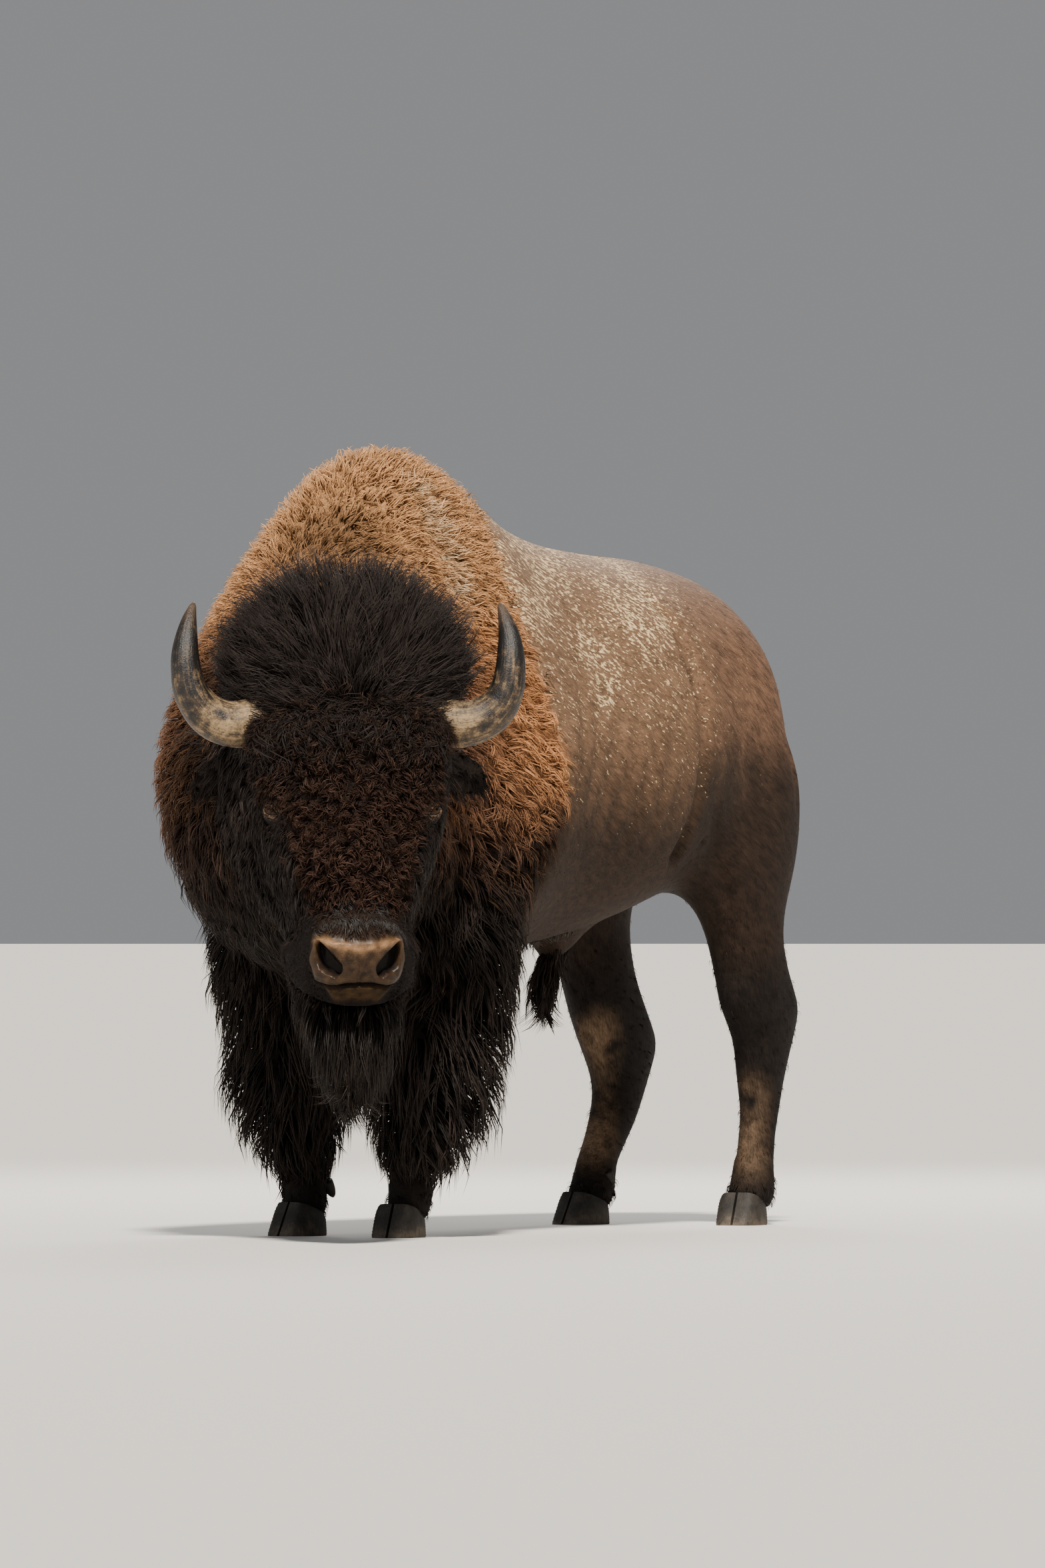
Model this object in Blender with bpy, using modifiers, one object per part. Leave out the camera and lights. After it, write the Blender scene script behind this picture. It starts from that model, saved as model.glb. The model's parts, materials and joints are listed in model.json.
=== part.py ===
"""A bull American bison, life size, standing with its head lowered and turned to its left.

Metres, +Z up. The bull faces -Y, its left side is +X, and its feet stand on z = 0.
The body is lofted at the tips of its coat, fused into one smooth form, and then parted
into trunk, neck, head, legs and tail by thin straight cuts. Horns, ears, eyes and the
claws of the hooves are pieces of their own, seated in pockets cut to fit them.
"""

from math import cos, pi, radians, sin

import bmesh
import bpy
import numpy as np
from mathutils import Matrix, Vector

# ---- driving sizes -------------------------------------------------------------------
GAP = 0.0004  # the clearance between two neighbouring pieces
VOXEL = 0.0105  # the grain of the fused body before it is thinned out
BODY_TRIANGLES = 5300
FINENESS = 0.0016  # how much the head is spared when the body is thinned out

HEAD_TURN = radians(36)  # how far the head is turned to the bull's left
FACE_TILT = radians(26)  # how far the muzzle is pushed forward of straight down
EYE_MIDDLE = np.array((0.430, -0.760, 0.950))  # midway between the eyes
EYE_RADIUS = 0.021
EYE_SPREAD = 0.178
EYE_SINK = 0.014  # how deep the middle of the eye lies under the coat

# Lines of the trunk as (distance behind the fore feet, value), at the tips of the coat.
TRUNK_ENDS = (-0.47, 1.64)
TRUNK_ROUND = (0.26, 0.27)  # how much of each end is rounded off
BACK_LINE = [(-0.47, 1.33), (-0.30, 1.54), (-0.12, 1.715), (0.06, 1.790), (0.24, 1.750), (0.42, 1.650),
             (0.62, 1.590), (0.90, 1.560), (1.18, 1.545), (1.38, 1.500), (1.53, 1.400), (1.64, 1.26)]
BELLY_LINE = [(-0.47, 0.80), (-0.30, 0.66), (-0.05, 0.60), (0.25, 0.60), (0.50, 0.625), (0.80, 0.67),
              (1.05, 0.725), (1.30, 0.79), (1.64, 0.93)]
HALF_WIDTH = [(-0.47, 0.27), (-0.30, 0.345), (-0.10, 0.405), (0.12, 0.42), (0.30, 0.405), (0.46, 0.375),
              (0.75, 0.385), (0.98, 0.37), (1.18, 0.335), (1.36, 0.315), (1.50, 0.29), (1.64, 0.25)]
WIDEST = [(-0.47, 1.00), (0.10, 1.00), (0.40, 1.08), (0.80, 1.10), (1.15, 1.16), (1.40, 1.18), (1.64, 1.16)]
ROUND_ABOVE = [(-0.47, 0.90), (0.00, 0.80), (0.30, 0.82), (0.60, 0.86), (0.90, 0.86), (1.30, 0.84), (1.64, 0.90)]
TAPER = [(-0.47, 0.30), (0.00, 0.39), (0.25, 0.40), (0.45, 0.30), (0.75, 0.12), (1.10, 0.10), (1.64, 0.08)]
ROUND_BELOW = [(-0.47, 0.95), (0.10, 0.92), (0.45, 0.90), (0.90, 0.84), (1.30, 0.82), (1.64, 0.90)]

# Sections of the neck: sideways, along, middle height, turn, half width, rise, fall.
NECK = [(0.000, 0.02, 1.05, 0, 0.375, 0.70, 0.45),
        (0.010, -0.16, 1.05, 9, 0.388, 0.62, 0.46),
        (0.080, -0.34, 1.06, 22, 0.365, 0.48, 0.46),
        (0.175, -0.48, 1.07, 31, 0.320, 0.37, 0.44),
        (0.270, -0.60, 1.08, 36, 0.270, 0.28, 0.42),
        (0.345, -0.70, 1.04, 36, 0.205, 0.22, 0.38)]
NECK_TAPER = 0.34

# Sections down the head from the eyes: station, half width, rise to the face, depth to the throat.
HEAD = [(-0.27, 0.17, 0.06, 0.22), (-0.20, 0.225, 0.105, 0.30), (-0.10, 0.232, 0.125, 0.34),
        (0.00, 0.214, 0.120, 0.33), (0.07, 0.196, 0.115, 0.30), (0.14, 0.170, 0.105, 0.255),
        (0.21, 0.140, 0.088, 0.205), (0.27, 0.116, 0.072, 0.160), (0.32, 0.108, 0.062, 0.125),
        (0.365, 0.102, 0.046, 0.105), (0.400, 0.086, 0.022, 0.092), (0.420, 0.055, -0.005, 0.075)]
CHIN = [(0.30, 0.085, -0.080, 0.150), (0.36, 0.085, -0.060, 0.155), (0.41, 0.072, -0.055, 0.150),
        (0.435, 0.040, -0.065, 0.130)]
# Tufts of the head, upright beside it: middle (left, height, forward), then radii.
BONNET = (0.0, 0.350, -0.165, 0.305, 0.200, 0.228)
CROWN = (0.0, 0.175, -0.075, 0.245, 0.190, 0.200)
# Swellings along the face: middle (left, down the face, out), then radii.
BRIDGE = (0.0, 0.130, 0.060, 0.138, 0.135, 0.078)
NOSE_PAD = (0.0, 0.320, 0.012, 0.104, 0.062, 0.058)
BROW = (0.150, -0.060, 0.060, 0.058, 0.042, 0.045)
# The beard: sideways from the chin, along the face's lean, height, half width, half depth.
BEARD = [(-0.16, 0.68, 0.160, 0.220), (-0.15, 0.60, 0.148, 0.200), (-0.12, 0.52, 0.135, 0.150),
         (-0.10, 0.43, 0.112, 0.105), (-0.085, 0.35, 0.078, 0.068), (-0.075, 0.29, 0.036, 0.032)]

# Horn: left of the head's middle, height above the eyes, out of the face, radius.
HORN = [(0.150, 0.215, -0.085, 0.050), (0.205, 0.197, -0.085, 0.053), (0.262, 0.193, -0.080, 0.051),
        (0.314, 0.216, -0.072, 0.045), (0.347, 0.262, -0.066, 0.039), (0.358, 0.318, -0.068, 0.033),
        (0.357, 0.374, -0.080, 0.026), (0.349, 0.420, -0.094, 0.017), (0.337, 0.460, -0.108, 0.005)]
# Ear: left of the head's middle, height above the eyes, out of the face, half width, half thickness.
EAR = [(0.150, 0.105, -0.150, 0.030, 0.024), (0.200, 0.100, -0.180, 0.044, 0.028),
       (0.248, 0.086, -0.210, 0.052, 0.026), (0.288, 0.068, -0.236, 0.044, 0.020),
       (0.318, 0.050, -0.256, 0.020, 0.012)]

# Legs: sideways, along, height, half width, half depth, from the body down.
FORE_LEFT = [(0.225, 0.05, 1.05, 0.15, 0.22), (0.225, 0.03, 0.80, 0.175, 0.21), (0.220, 0.01, 0.62, 0.185, 0.185),
             (0.212, -0.01, 0.48, 0.188, 0.175), (0.208, -0.02, 0.36, 0.190, 0.170), (0.202, -0.02, 0.27, 0.172, 0.155),
             (0.190, -0.02, 0.20, 0.138, 0.130), (0.160, -0.015, 0.148, 0.078, 0.085), (0.140, -0.010, 0.120, 0.053, 0.057),
             (0.136, -0.016, 0.092, 0.050, 0.051), (0.135, -0.036, 0.045, 0.055, 0.054)]
FORE_RIGHT = [(-0.225, 0.06, 1.05, 0.15, 0.22), (-0.230, 0.05, 0.80, 0.185, 0.21), (-0.224, 0.04, 0.62, 0.184, 0.185),
              (-0.208, 0.03, 0.48, 0.168, 0.170), (-0.204, 0.02, 0.36, 0.166, 0.162), (-0.198, 0.02, 0.27, 0.152, 0.150),
              (-0.188, 0.02, 0.20, 0.125, 0.126), (-0.168, 0.025, 0.148, 0.075, 0.083), (-0.157, 0.030, 0.120, 0.053, 0.057),
              (-0.155, 0.024, 0.092, 0.050, 0.051), (-0.155, 0.004, 0.045, 0.055, 0.054)]
HIND_LEFT = [(0.160, 1.36, 1.25, 0.050, 0.10), (0.178, 1.36, 1.14, 0.118, 0.225),
             (0.195, 1.36, 0.95, 0.130, 0.27), (0.200, 1.365, 0.81, 0.112, 0.235),
             (0.203, 1.405, 0.68, 0.087, 0.135), (0.205, 1.445, 0.58, 0.075, 0.125), (0.205, 1.480, 0.505, 0.069, 0.148),
             (0.200, 1.503, 0.43, 0.061, 0.102), (0.195, 1.505, 0.355, 0.052, 0.080), (0.190, 1.503, 0.26, 0.045, 0.059),
             (0.187, 1.492, 0.18, 0.046, 0.052), (0.185, 1.482, 0.125, 0.052, 0.056), (0.184, 1.470, 0.09, 0.049, 0.051),
             (0.183, 1.450, 0.045, 0.055, 0.055)]
HIND_RIGHT = [(-0.160, 1.35, 1.25, 0.050, 0.10), (-0.178, 1.35, 1.14, 0.118, 0.225),
              (-0.195, 1.35, 0.95, 0.130, 0.27), (-0.200, 1.355, 0.81, 0.112, 0.230),
              (-0.202, 1.395, 0.68, 0.088, 0.135), (-0.202, 1.430, 0.585, 0.079, 0.120), (-0.201, 1.475, 0.50, 0.076, 0.134),
              (-0.200, 1.528, 0.415, 0.069, 0.145), (-0.195, 1.528, 0.33, 0.055, 0.098), (-0.190, 1.472, 0.225, 0.048, 0.080),
              (-0.185, 1.402, 0.145, 0.047, 0.068), (-0.183, 1.372, 0.105, 0.051, 0.060), (-0.181, 1.352, 0.08, 0.049, 0.054),
              (-0.180, 1.330, 0.045, 0.055, 0.055)]
TAIL = [(0.0, 1.50, 1.42, 0.060, 0.060), (0.0, 1.615, 1.395, 0.046, 0.046), (0.004, 1.685, 1.320, 0.037, 0.037),
        (0.010, 1.706, 1.18, 0.028, 0.028), (0.014, 1.706, 1.02, 0.030, 0.031), (0.015, 1.707, 0.92, 0.045, 0.045),
        (0.015, 1.708, 0.82, 0.041, 0.041), (0.015, 1.709, 0.745, 0.016, 0.016)]
SHEATH = [(0.0, 1.02, 0.74, 0.060, 0.060), (0.0, 0.90, 0.66, 0.060, 0.075), (0.0, 0.84, 0.59, 0.046, 0.055),
          (0.0, 0.815, 0.52, 0.034, 0.038), (0.0, 0.81, 0.465, 0.014, 0.014)]
SCROTUM = (0.0, 1.36, 0.815, 0.062, 0.060, 0.078)  # middle, then radii

# Hooves: middle of the foot on the floor, and how far it is turned outwards.
FEET = {"fore_left": (0.135, -0.058, 8), "fore_right": (-0.155, -0.018, -8),
        "hind_left": (0.183, 1.430, 10), "hind_right": (-0.180, 1.310, -10)}
CLAW_LENGTH, CLAW_WIDTH, CLAW_HEIGHT, CLAW_HEEL = 0.132, 0.058, 0.076, 0.046
TOE_SLOPE = radians(62)
CLEFT = 0.006

# Where the body is parted.
LEG_CUTS = {"fore": 0.555, "hind": 0.665}
# Middle of each cut, then the way its face looks.
NECK_CUT = ((0.060, -0.300, 1.10), (sin(radians(18)), -cos(radians(18)), 0.28))
HEAD_CUT = ((0.300, -0.600, 1.05), (sin(radians(36)), -cos(radians(36)), 0.05))
TAIL_CUT = ((0.002, 1.662, 1.352), (0.0, 0.60, -0.80))


# ---- shaping -------------------------------------------------------------------------
def curve(table, at):
    """Smooth curve through a table: cubic pieces whose slopes are the mean of their neighbours'."""
    table = np.array(table, float)
    xs, ys = table[:, 0], table[:, 1:]
    slopes = np.gradient(ys, xs, axis=0)
    at = np.clip(np.atleast_1d(at), xs[0], xs[-1])
    i = np.clip(np.searchsorted(xs, at, side="right") - 1, 0, len(xs) - 2)
    step = (xs[i + 1] - xs[i])[:, None]
    t = (at - xs[i])[:, None] / step
    start = (1 + 2 * t) * (1 - t) ** 2 * ys[i] + t * (1 - t) ** 2 * step * slopes[i]
    end = t * t * (3 - 2 * t) * ys[i + 1] - t * t * (1 - t) * step * slopes[i + 1]
    return start + end


def through(stations, count):
    """The rows of a table, filled in smoothly to this many, evenly spaced along the path."""
    rows = np.array(stations, float)
    length = np.concatenate([[0], np.cumsum(np.linalg.norm(np.diff(rows[:, :3], axis=0), axis=1))])
    return curve(np.column_stack([length, rows]), np.linspace(0, length[-1], count))


def mesh_object(name, vertices, faces):
    mesh = bpy.data.meshes.new(name)
    mesh.from_pydata([tuple(v) for v in vertices], [], [tuple(f) for f in faces])
    bm = bmesh.new()
    bm.from_mesh(mesh)
    bmesh.ops.recalc_face_normals(bm, faces=bm.faces)
    if bm.calc_volume(signed=True) < 0:
        bmesh.ops.reverse_faces(bm, faces=bm.faces)
    bm.to_mesh(mesh)
    bm.free()
    obj = bpy.data.objects.new(name, mesh)
    bpy.context.scene.collection.objects.link(obj)
    return obj


def loft(name, rings):
    """A closed skin over rings of equal numbers of points, with a flat face at each end."""
    n, m = rings.shape[:2]
    faces = []
    for i in range(n - 1):
        for j in range(m):
            k = (j + 1) % m
            faces.append((i * m + j, i * m + k, (i + 1) * m + k))
            faces.append((i * m + j, (i + 1) * m + k, (i + 1) * m + j))
    faces.append(tuple(range(m))[::-1])
    faces.append(tuple((n - 1) * m + j for j in range(m)))
    return mesh_object(name, rings.reshape(-1, 3), faces)


def section(half_width, rise, fall, above=1.0, below=1.0, taper=0.0, points=40):
    """An upright oval, boxier where its roundness above or below is under 1, drawn in to the top by a taper."""
    angle = np.linspace(0, 2 * pi, points, endpoint=False)
    c, s = np.cos(angle), np.sin(angle)
    power = np.where(s > 0, above, below)
    up = np.sign(s) * np.abs(s) ** power
    across = half_width * np.sign(c) * np.abs(c) ** power * (1 - taper * np.clip(up, 0, 1))
    return across, np.where(s > 0, rise, fall) * up


def upright_column(name, stations, count=40, points=24):
    """A limb: level ovals stacked along a path."""
    rings = []
    for x, y, z, half_width, half_depth in through(stations, count):
        across, along = section(half_width, half_depth, half_depth, points=points)
        rings.append(np.column_stack([x + across, y + along, np.full(points, z)]))
    return loft(name, np.array(rings))


def ellipsoid(name, middle, radii, turn=None, segments=32):
    bm = bmesh.new()
    bmesh.ops.create_uvsphere(bm, u_segments=segments, v_segments=segments // 2, radius=1.0)
    bmesh.ops.scale(bm, vec=radii, verts=bm.verts)
    mesh = bpy.data.meshes.new(name)
    bm.to_mesh(mesh)
    bm.free()
    matrix = Matrix.Identity(3) if turn is None else Matrix(turn)
    mesh.transform(Matrix.Translation(middle) @ matrix.to_4x4())
    obj = bpy.data.objects.new(name, mesh)
    bpy.context.scene.collection.objects.link(obj)
    return obj


def apply_modifiers(obj):
    graph = bpy.context.evaluated_depsgraph_get()
    mesh = bpy.data.meshes.new_from_object(obj.evaluated_get(graph))
    obj.modifiers.clear()
    obj.data = mesh


def subtract(obj, cutter):
    cut = obj.modifiers.new("cut", "BOOLEAN")
    cut.operation = "DIFFERENCE"
    cut.solver = "EXACT"
    cut.object = cutter
    apply_modifiers(obj)
    bpy.data.objects.remove(cutter)


def joined(name, objects):
    bm = bmesh.new()
    for obj in objects:
        bm.from_mesh(obj.data)
        bpy.data.objects.remove(obj)
    mesh = bpy.data.meshes.new(name)
    bm.to_mesh(mesh)
    bm.free()
    whole = bpy.data.objects.new(name, mesh)
    bpy.context.scene.collection.objects.link(whole)
    return whole


# ---- the head's own directions -------------------------------------------------------
UP = np.array((0.0, 0.0, 1.0))
FORWARD = np.array((sin(HEAD_TURN), -cos(HEAD_TURN), 0.0))
LEFT = np.array((cos(HEAD_TURN), sin(HEAD_TURN), 0.0))
DOWN_FACE = sin(FACE_TILT) * FORWARD - cos(FACE_TILT) * UP
OUT_OF_FACE = cos(FACE_TILT) * FORWARD + sin(FACE_TILT) * UP
HEAD_AXES = np.column_stack((LEFT, DOWN_FACE, OUT_OF_FACE))
UPRIGHT_AXES = np.column_stack((LEFT, FORWARD, UP))


def on_head(left, down, out):
    return EYE_MIDDLE + left * LEFT + down * DOWN_FACE + out * OUT_OF_FACE


def beside_head(left, height, out):
    """A place given by its height above the eyes instead of its station down the face."""
    return EYE_MIDDLE + left * LEFT + height * UP + out * FORWARD


# ---- lofts of the body ---------------------------------------------------------------
def trunk():
    y = np.linspace(*TRUNK_ENDS, 72)
    top, bottom = curve(BACK_LINE, y)[:, 0], curve(BELLY_LINE, y)[:, 0]
    half_width, widest = curve(HALF_WIDTH, y)[:, 0], curve(WIDEST, y)[:, 0]
    above, below, taper = (curve(table, y)[:, 0] for table in (ROUND_ABOVE, ROUND_BELOW, TAPER))
    front = np.clip((TRUNK_ENDS[0] + TRUNK_ROUND[0] - y) / TRUNK_ROUND[0], 0, 1)
    rear = np.clip((y - TRUNK_ENDS[1] + TRUNK_ROUND[1]) / TRUNK_ROUND[1], 0, 1)
    fill = np.maximum(np.sqrt(1 - front ** 2.2) * np.sqrt(1 - rear ** 2.6), 0.12)
    rings = []
    for i in range(len(y)):
        squeeze = 0.35 + 0.65 * fill[i]
        across, up = section(half_width[i] * fill[i], (top[i] - widest[i]) * squeeze,
                             (widest[i] - bottom[i]) * squeeze, above[i], below[i], taper[i], 64)
        rings.append(np.column_stack([across, np.full(64, y[i]), widest[i] + up]))
    return loft("trunk_form", np.array(rings))


def neck():
    rings = []
    for x, y, z, turn, half_width, rise, fall in through(NECK, 24):
        across, up = section(half_width, rise, fall, 0.85, 0.95, NECK_TAPER, 48)
        rings.append(np.column_stack([x + across * cos(radians(turn)), y + across * sin(radians(turn)), z + up]))
    return loft("neck_form", np.array(rings))


def face_loft(name, stations, count, roundness):
    rings = []
    for down, half_width, rise, depth in curve([(s[0], *s) for s in stations],
                                               np.linspace(stations[0][0], stations[-1][0], count)):
        middle = (rise - depth) / 2
        across, up = section(half_width, rise - middle, depth + middle, roundness, roundness, points=40)
        rings.append([on_head(a, down, middle + u) for a, u in zip(across, up)])
    return loft(name, np.array(rings))


def beard():
    rings = []
    for forward, z, _, half_width, half_depth in through([(s[0], s[1], 0, *s[2:]) for s in BEARD], 20):
        middle = on_head(0, 0.36, -0.06)
        across, along = section(half_width, half_depth, half_depth, points=28)
        rings.append([middle + (z - middle[2]) * UP + a * LEFT + (b + forward) * FORWARD
                      for a, b in zip(across, along)])
    return loft("beard_form", np.array(rings))


def side_path(name, stations, side, count, points, grow=0.0):
    """A horn or an ear: ovals square to a path beside the head, on one side of it."""
    rows = through([(s[0], s[1], s[2], *s[3:]) for s in stations], count)
    path = [beside_head(side * r[0], r[1], r[2]) for r in rows]
    rings = []
    for i, row in enumerate(rows):
        ahead = path[min(i + 1, count - 1)] - path[max(i - 1, 0)]
        ahead = ahead / np.linalg.norm(ahead)
        flat = FORWARD - FORWARD.dot(ahead) * ahead
        flat = flat / np.linalg.norm(flat)
        wide = np.cross(ahead, flat)
        across, thick = section(row[3] + grow, row[-1] + grow, row[-1] + grow, points=points)
        beyond = {0: -grow, count - 1: grow}.get(i, 0.0) * ahead
        rings.append([path[i] + beyond + a * wide + t * flat for a, t in zip(across, thick)])
    return loft(name, np.array(rings))


def fused_body():
    pieces = [trunk(), neck(), beard(),
              face_loft("head_form", HEAD, 40, 0.86), face_loft("chin_form", CHIN, 12, 0.9),
              ellipsoid("bonnet_form", beside_head(*BONNET[:3]), BONNET[3:], UPRIGHT_AXES),
              ellipsoid("crown_form", beside_head(*CROWN[:3]), CROWN[3:], UPRIGHT_AXES),
              ellipsoid("bridge_form", on_head(*BRIDGE[:3]), BRIDGE[3:], HEAD_AXES),
              ellipsoid("nose_form", on_head(*NOSE_PAD[:3]), NOSE_PAD[3:], HEAD_AXES),
              ellipsoid("brow_left_form", on_head(*BROW[:3]), BROW[3:], HEAD_AXES),
              ellipsoid("brow_right_form", on_head(-BROW[0], *BROW[1:3]), BROW[3:], HEAD_AXES),
              upright_column("fore_left_form", FORE_LEFT), upright_column("fore_right_form", FORE_RIGHT),
              upright_column("hind_left_form", HIND_LEFT), upright_column("hind_right_form", HIND_RIGHT),
              upright_column("tail_form", TAIL, 30, 16), upright_column("sheath_form", SHEATH, 20, 16),
              ellipsoid("scrotum_form", SCROTUM[:3], SCROTUM[3:])]
    body = joined("body", pieces)
    fuse = body.modifiers.new("fuse", "REMESH")
    fuse.mode = "VOXEL"
    fuse.voxel_size = VOXEL
    apply_modifiers(body)
    body.modifiers.clear()
    soft = body.vertex_groups.new(name="soft")
    fine = body.vertex_groups.new(name="fine")
    points = np.array([v.co for v in body.data.vertices])
    from_eyes = (points - EYE_MIDDLE) @ HEAD_AXES
    near_face = np.clip(1.6 - np.linalg.norm(from_eyes * [1, 0.8, 1], axis=1) / 0.28, 0, 1)
    plain_face = 0.85 * np.clip((from_eyes[:, 1] + 0.13) / 0.08, 0, 1) * near_face
    low_leg = np.clip((0.66 - points[:, 2]) / 0.1, 0, 1)
    tail_root = np.clip((points[:, 1] - 1.60) / 0.04, 0, 1)
    soften = np.clip(1 - plain_face - low_leg - tail_root, 0, 1)
    for i, (s, f) in enumerate(zip(soften.tolist(), near_face.tolist())):
        soft.add([i], s, "REPLACE")
        fine.add([i], 1 - f, "REPLACE")
    for group, turns in (("soft", 60), ("", 4)):
        smooth = body.modifiers.new("smooth", "SMOOTH")
        smooth.factor = 0.5
        smooth.iterations = turns
        smooth.vertex_group = group
    apply_modifiers(body)
    thin = body.modifiers.new("thin", "DECIMATE")
    thin.ratio = BODY_TRIANGLES / (2 * len(body.data.polygons))
    thin.vertex_group = "fine"
    thin.vertex_group_factor = FINENESS
    thin.use_collapse_triangulate = True
    apply_modifiers(body)
    return body


def slab(middle, facing, reach):
    """A cutter as thin as the gap, square to the way it faces."""
    bm = bmesh.new()
    bmesh.ops.create_cube(bm, size=1.0)
    bmesh.ops.scale(bm, vec=(reach, reach, GAP), verts=bm.verts)
    mesh = bpy.data.meshes.new("slab")
    bm.to_mesh(mesh)
    bm.free()
    turn = Vector(facing).to_track_quat("Z", "Y").to_matrix().to_4x4()
    mesh.transform(Matrix.Translation(middle) @ turn)
    cutter = bpy.data.objects.new("slab", mesh)
    bpy.context.scene.collection.objects.link(cutter)
    return cutter


def parted(body):
    """The body cut by the slabs, each loose piece made an object of its own."""
    for middle, facing, reach in ((*NECK_CUT, 2.2), (*HEAD_CUT, 1.8), (*TAIL_CUT, 0.105),
                                  ((0, 0.0, LEG_CUTS["fore"]), (0, 0, 1), 1.0),
                                  ((0, 1.45, LEG_CUTS["hind"]), (0, 0, 1), 0.70)):
        subtract(body, slab(middle, facing, reach))
    bpy.context.view_layer.objects.active = body
    body.select_set(True)
    bpy.ops.object.mode_set(mode="EDIT")
    bpy.ops.mesh.select_all(action="SELECT")
    bpy.ops.mesh.separate(type="LOOSE")
    bpy.ops.object.mode_set(mode="OBJECT")
    return [o for o in bpy.context.scene.objects if o.name.startswith("body")]


def coronet(along):
    """Height of the slanting plane that a hoof's upper edge lies in, at a place behind the foot's middle."""
    slope = (CLAW_HEIGHT - CLAW_HEEL) / (CLAW_LENGTH - CLAW_HEIGHT / np.tan(TOE_SLOPE))
    return CLAW_HEEL + slope * (CLAW_LENGTH / 2 - along)


def claw(name, foot, side):
    """Half of a cloven hoof: D-shaped outlines, flat at the cleft, leaning back from toe to coronet."""
    x, y, turn = FEET[foot]
    angle = np.linspace(-pi / 2, pi / 2, 9)
    back = (1 - np.sin(angle)) / 2  # 0 at the toe, 1 at the heel
    rings = []
    for t in np.linspace(0, 1, 4):
        lean = (1 - back) ** 2 / np.tan(TOE_SLOPE)
        floor_line = (back - 0.5) * CLAW_LENGTH
        slope = coronet(0) - coronet(1)
        height = t * coronet(floor_line) / (1 + slope * lean)
        along = floor_line + height * lean
        outward = CLEFT / 2 + 0.008 + (CLAW_WIDTH - 0.008 - 0.004 * t) * np.cos(angle) ** 0.62 * (0.80 + 0.20 * back)
        outer = np.column_stack([outward, along, height])
        inner = np.column_stack([np.full(9, CLEFT / 2), along, height])[1:-1][::-1]
        rings.append(np.vstack([outer, inner]) * [side, 1, 1])
    turned = Matrix.Translation((x, y, 0)) @ Matrix.Rotation(radians(turn), 4, "Z")
    obj = loft(name, np.array(rings))
    obj.data.transform(turned)
    return obj


def below_coronet(foot):
    """A block whose slanting top is the plane where the hoof's upper edge meets the leg."""
    x, y, turn = FEET[foot]
    profile = [(-0.14, coronet(-0.14)), (CLAW_LENGTH / 2, CLAW_HEEL), (0.14, CLAW_HEEL - 0.008), (0.14, -0.05),
               (-0.14, -0.05)]
    rings = [[(across, along, height + (GAP if height > 0 else 0)) for along, height in profile]
             for across in (-0.14, 0.14)]
    block = loft("below_coronet", np.array(rings))
    block.data.transform(Matrix.Translation((x, y, 0)) @ Matrix.Rotation(radians(turn), 4, "Z"))
    return block


def eye_places(body):
    """Where the middle of each eye lies: sunk straight back from the coat's surface beside the face."""
    places = {}
    for name, side in (("left", 1), ("right", -1)):
        start = Vector(on_head(side * EYE_SPREAD, 0.012, 0.5))
        hit, place, _, _ = body.ray_cast(start, Vector(-OUT_OF_FACE))
        places[name] = place - EYE_SINK * Vector(OUT_OF_FACE) - side * 0.006 * Vector(LEFT)
    return places


def socket(place, side):
    """A round pocket for the eye that widens to the open air."""
    axis = (Vector(OUT_OF_FACE) + side * 0.75 * Vector(LEFT)).normalized()
    rings = []
    first = axis.orthogonal().normalized()
    second = axis.cross(first)
    for depth, radius in ((-0.026, 0.009), (-0.020, 0.0165), (-0.011, 0.0225), (0.0, 0.0245), (0.012, 0.026),
                          (0.05, 0.040)):
        rings.append([place + depth * axis + radius * (cos(a) * first + sin(a) * second)
                      for a in np.linspace(0, 2 * pi, 12, endpoint=False)])
    return loft("socket", np.array(rings))


def material(name, colour, roughness):
    made = bpy.data.materials.new(name)
    made.use_nodes = True
    shader = made.node_tree.nodes["Principled BSDF"]
    shader.inputs["Base Color"].default_value = (*colour, 1.0)
    shader.inputs["Roughness"].default_value = roughness
    made.diffuse_color = (*colour, 1.0)
    return made


def keep(obj, name, paint):
    """Puts a finished piece in the bison's collection under its own name."""
    obj.name = name
    obj.data.name = name
    obj.data.materials.clear()
    obj.data.materials.append(paint)
    for group in list(obj.vertex_groups):
        obj.vertex_groups.remove(group)
    for home in list(obj.users_collection):
        home.objects.unlink(obj)
    bison.objects.link(obj)


def flesh_name(obj):
    """Which part of the animal a loose piece is, told by where its middle lies."""
    middle = np.mean([v.co for v in obj.data.vertices], axis=0)
    low = obj.bound_box[6][2] < LEG_CUTS["hind"] + 0.01
    if low:
        return ("fore" if middle[1] < 0.6 else "hind") + ("_left" if middle[0] > 0 else "_right") + "_leg"
    if middle[1] > TAIL_CUT[0][1]:
        return "tail"
    if middle[1] > 0.1:
        return "trunk"
    return "head" if middle[1] < HEAD_CUT[0][1] else "neck"


# ---- clear the scene, build, part ----------------------------------------------------
for old in list(bpy.data.objects):
    bpy.data.objects.remove(old)
bison = bpy.data.collections.new("bison")
bpy.context.scene.collection.children.link(bison)

coat_brown = material("coat_brown", (0.075, 0.042, 0.024), 0.85)
coat_black = material("coat_black", (0.020, 0.014, 0.011), 0.80)
horn_black = material("horn_black", (0.045, 0.038, 0.030), 0.35)
hoof_black = material("hoof_black", (0.030, 0.026, 0.022), 0.45)
eye_dark = material("eye_dark", (0.012, 0.008, 0.005), 0.05)

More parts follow.
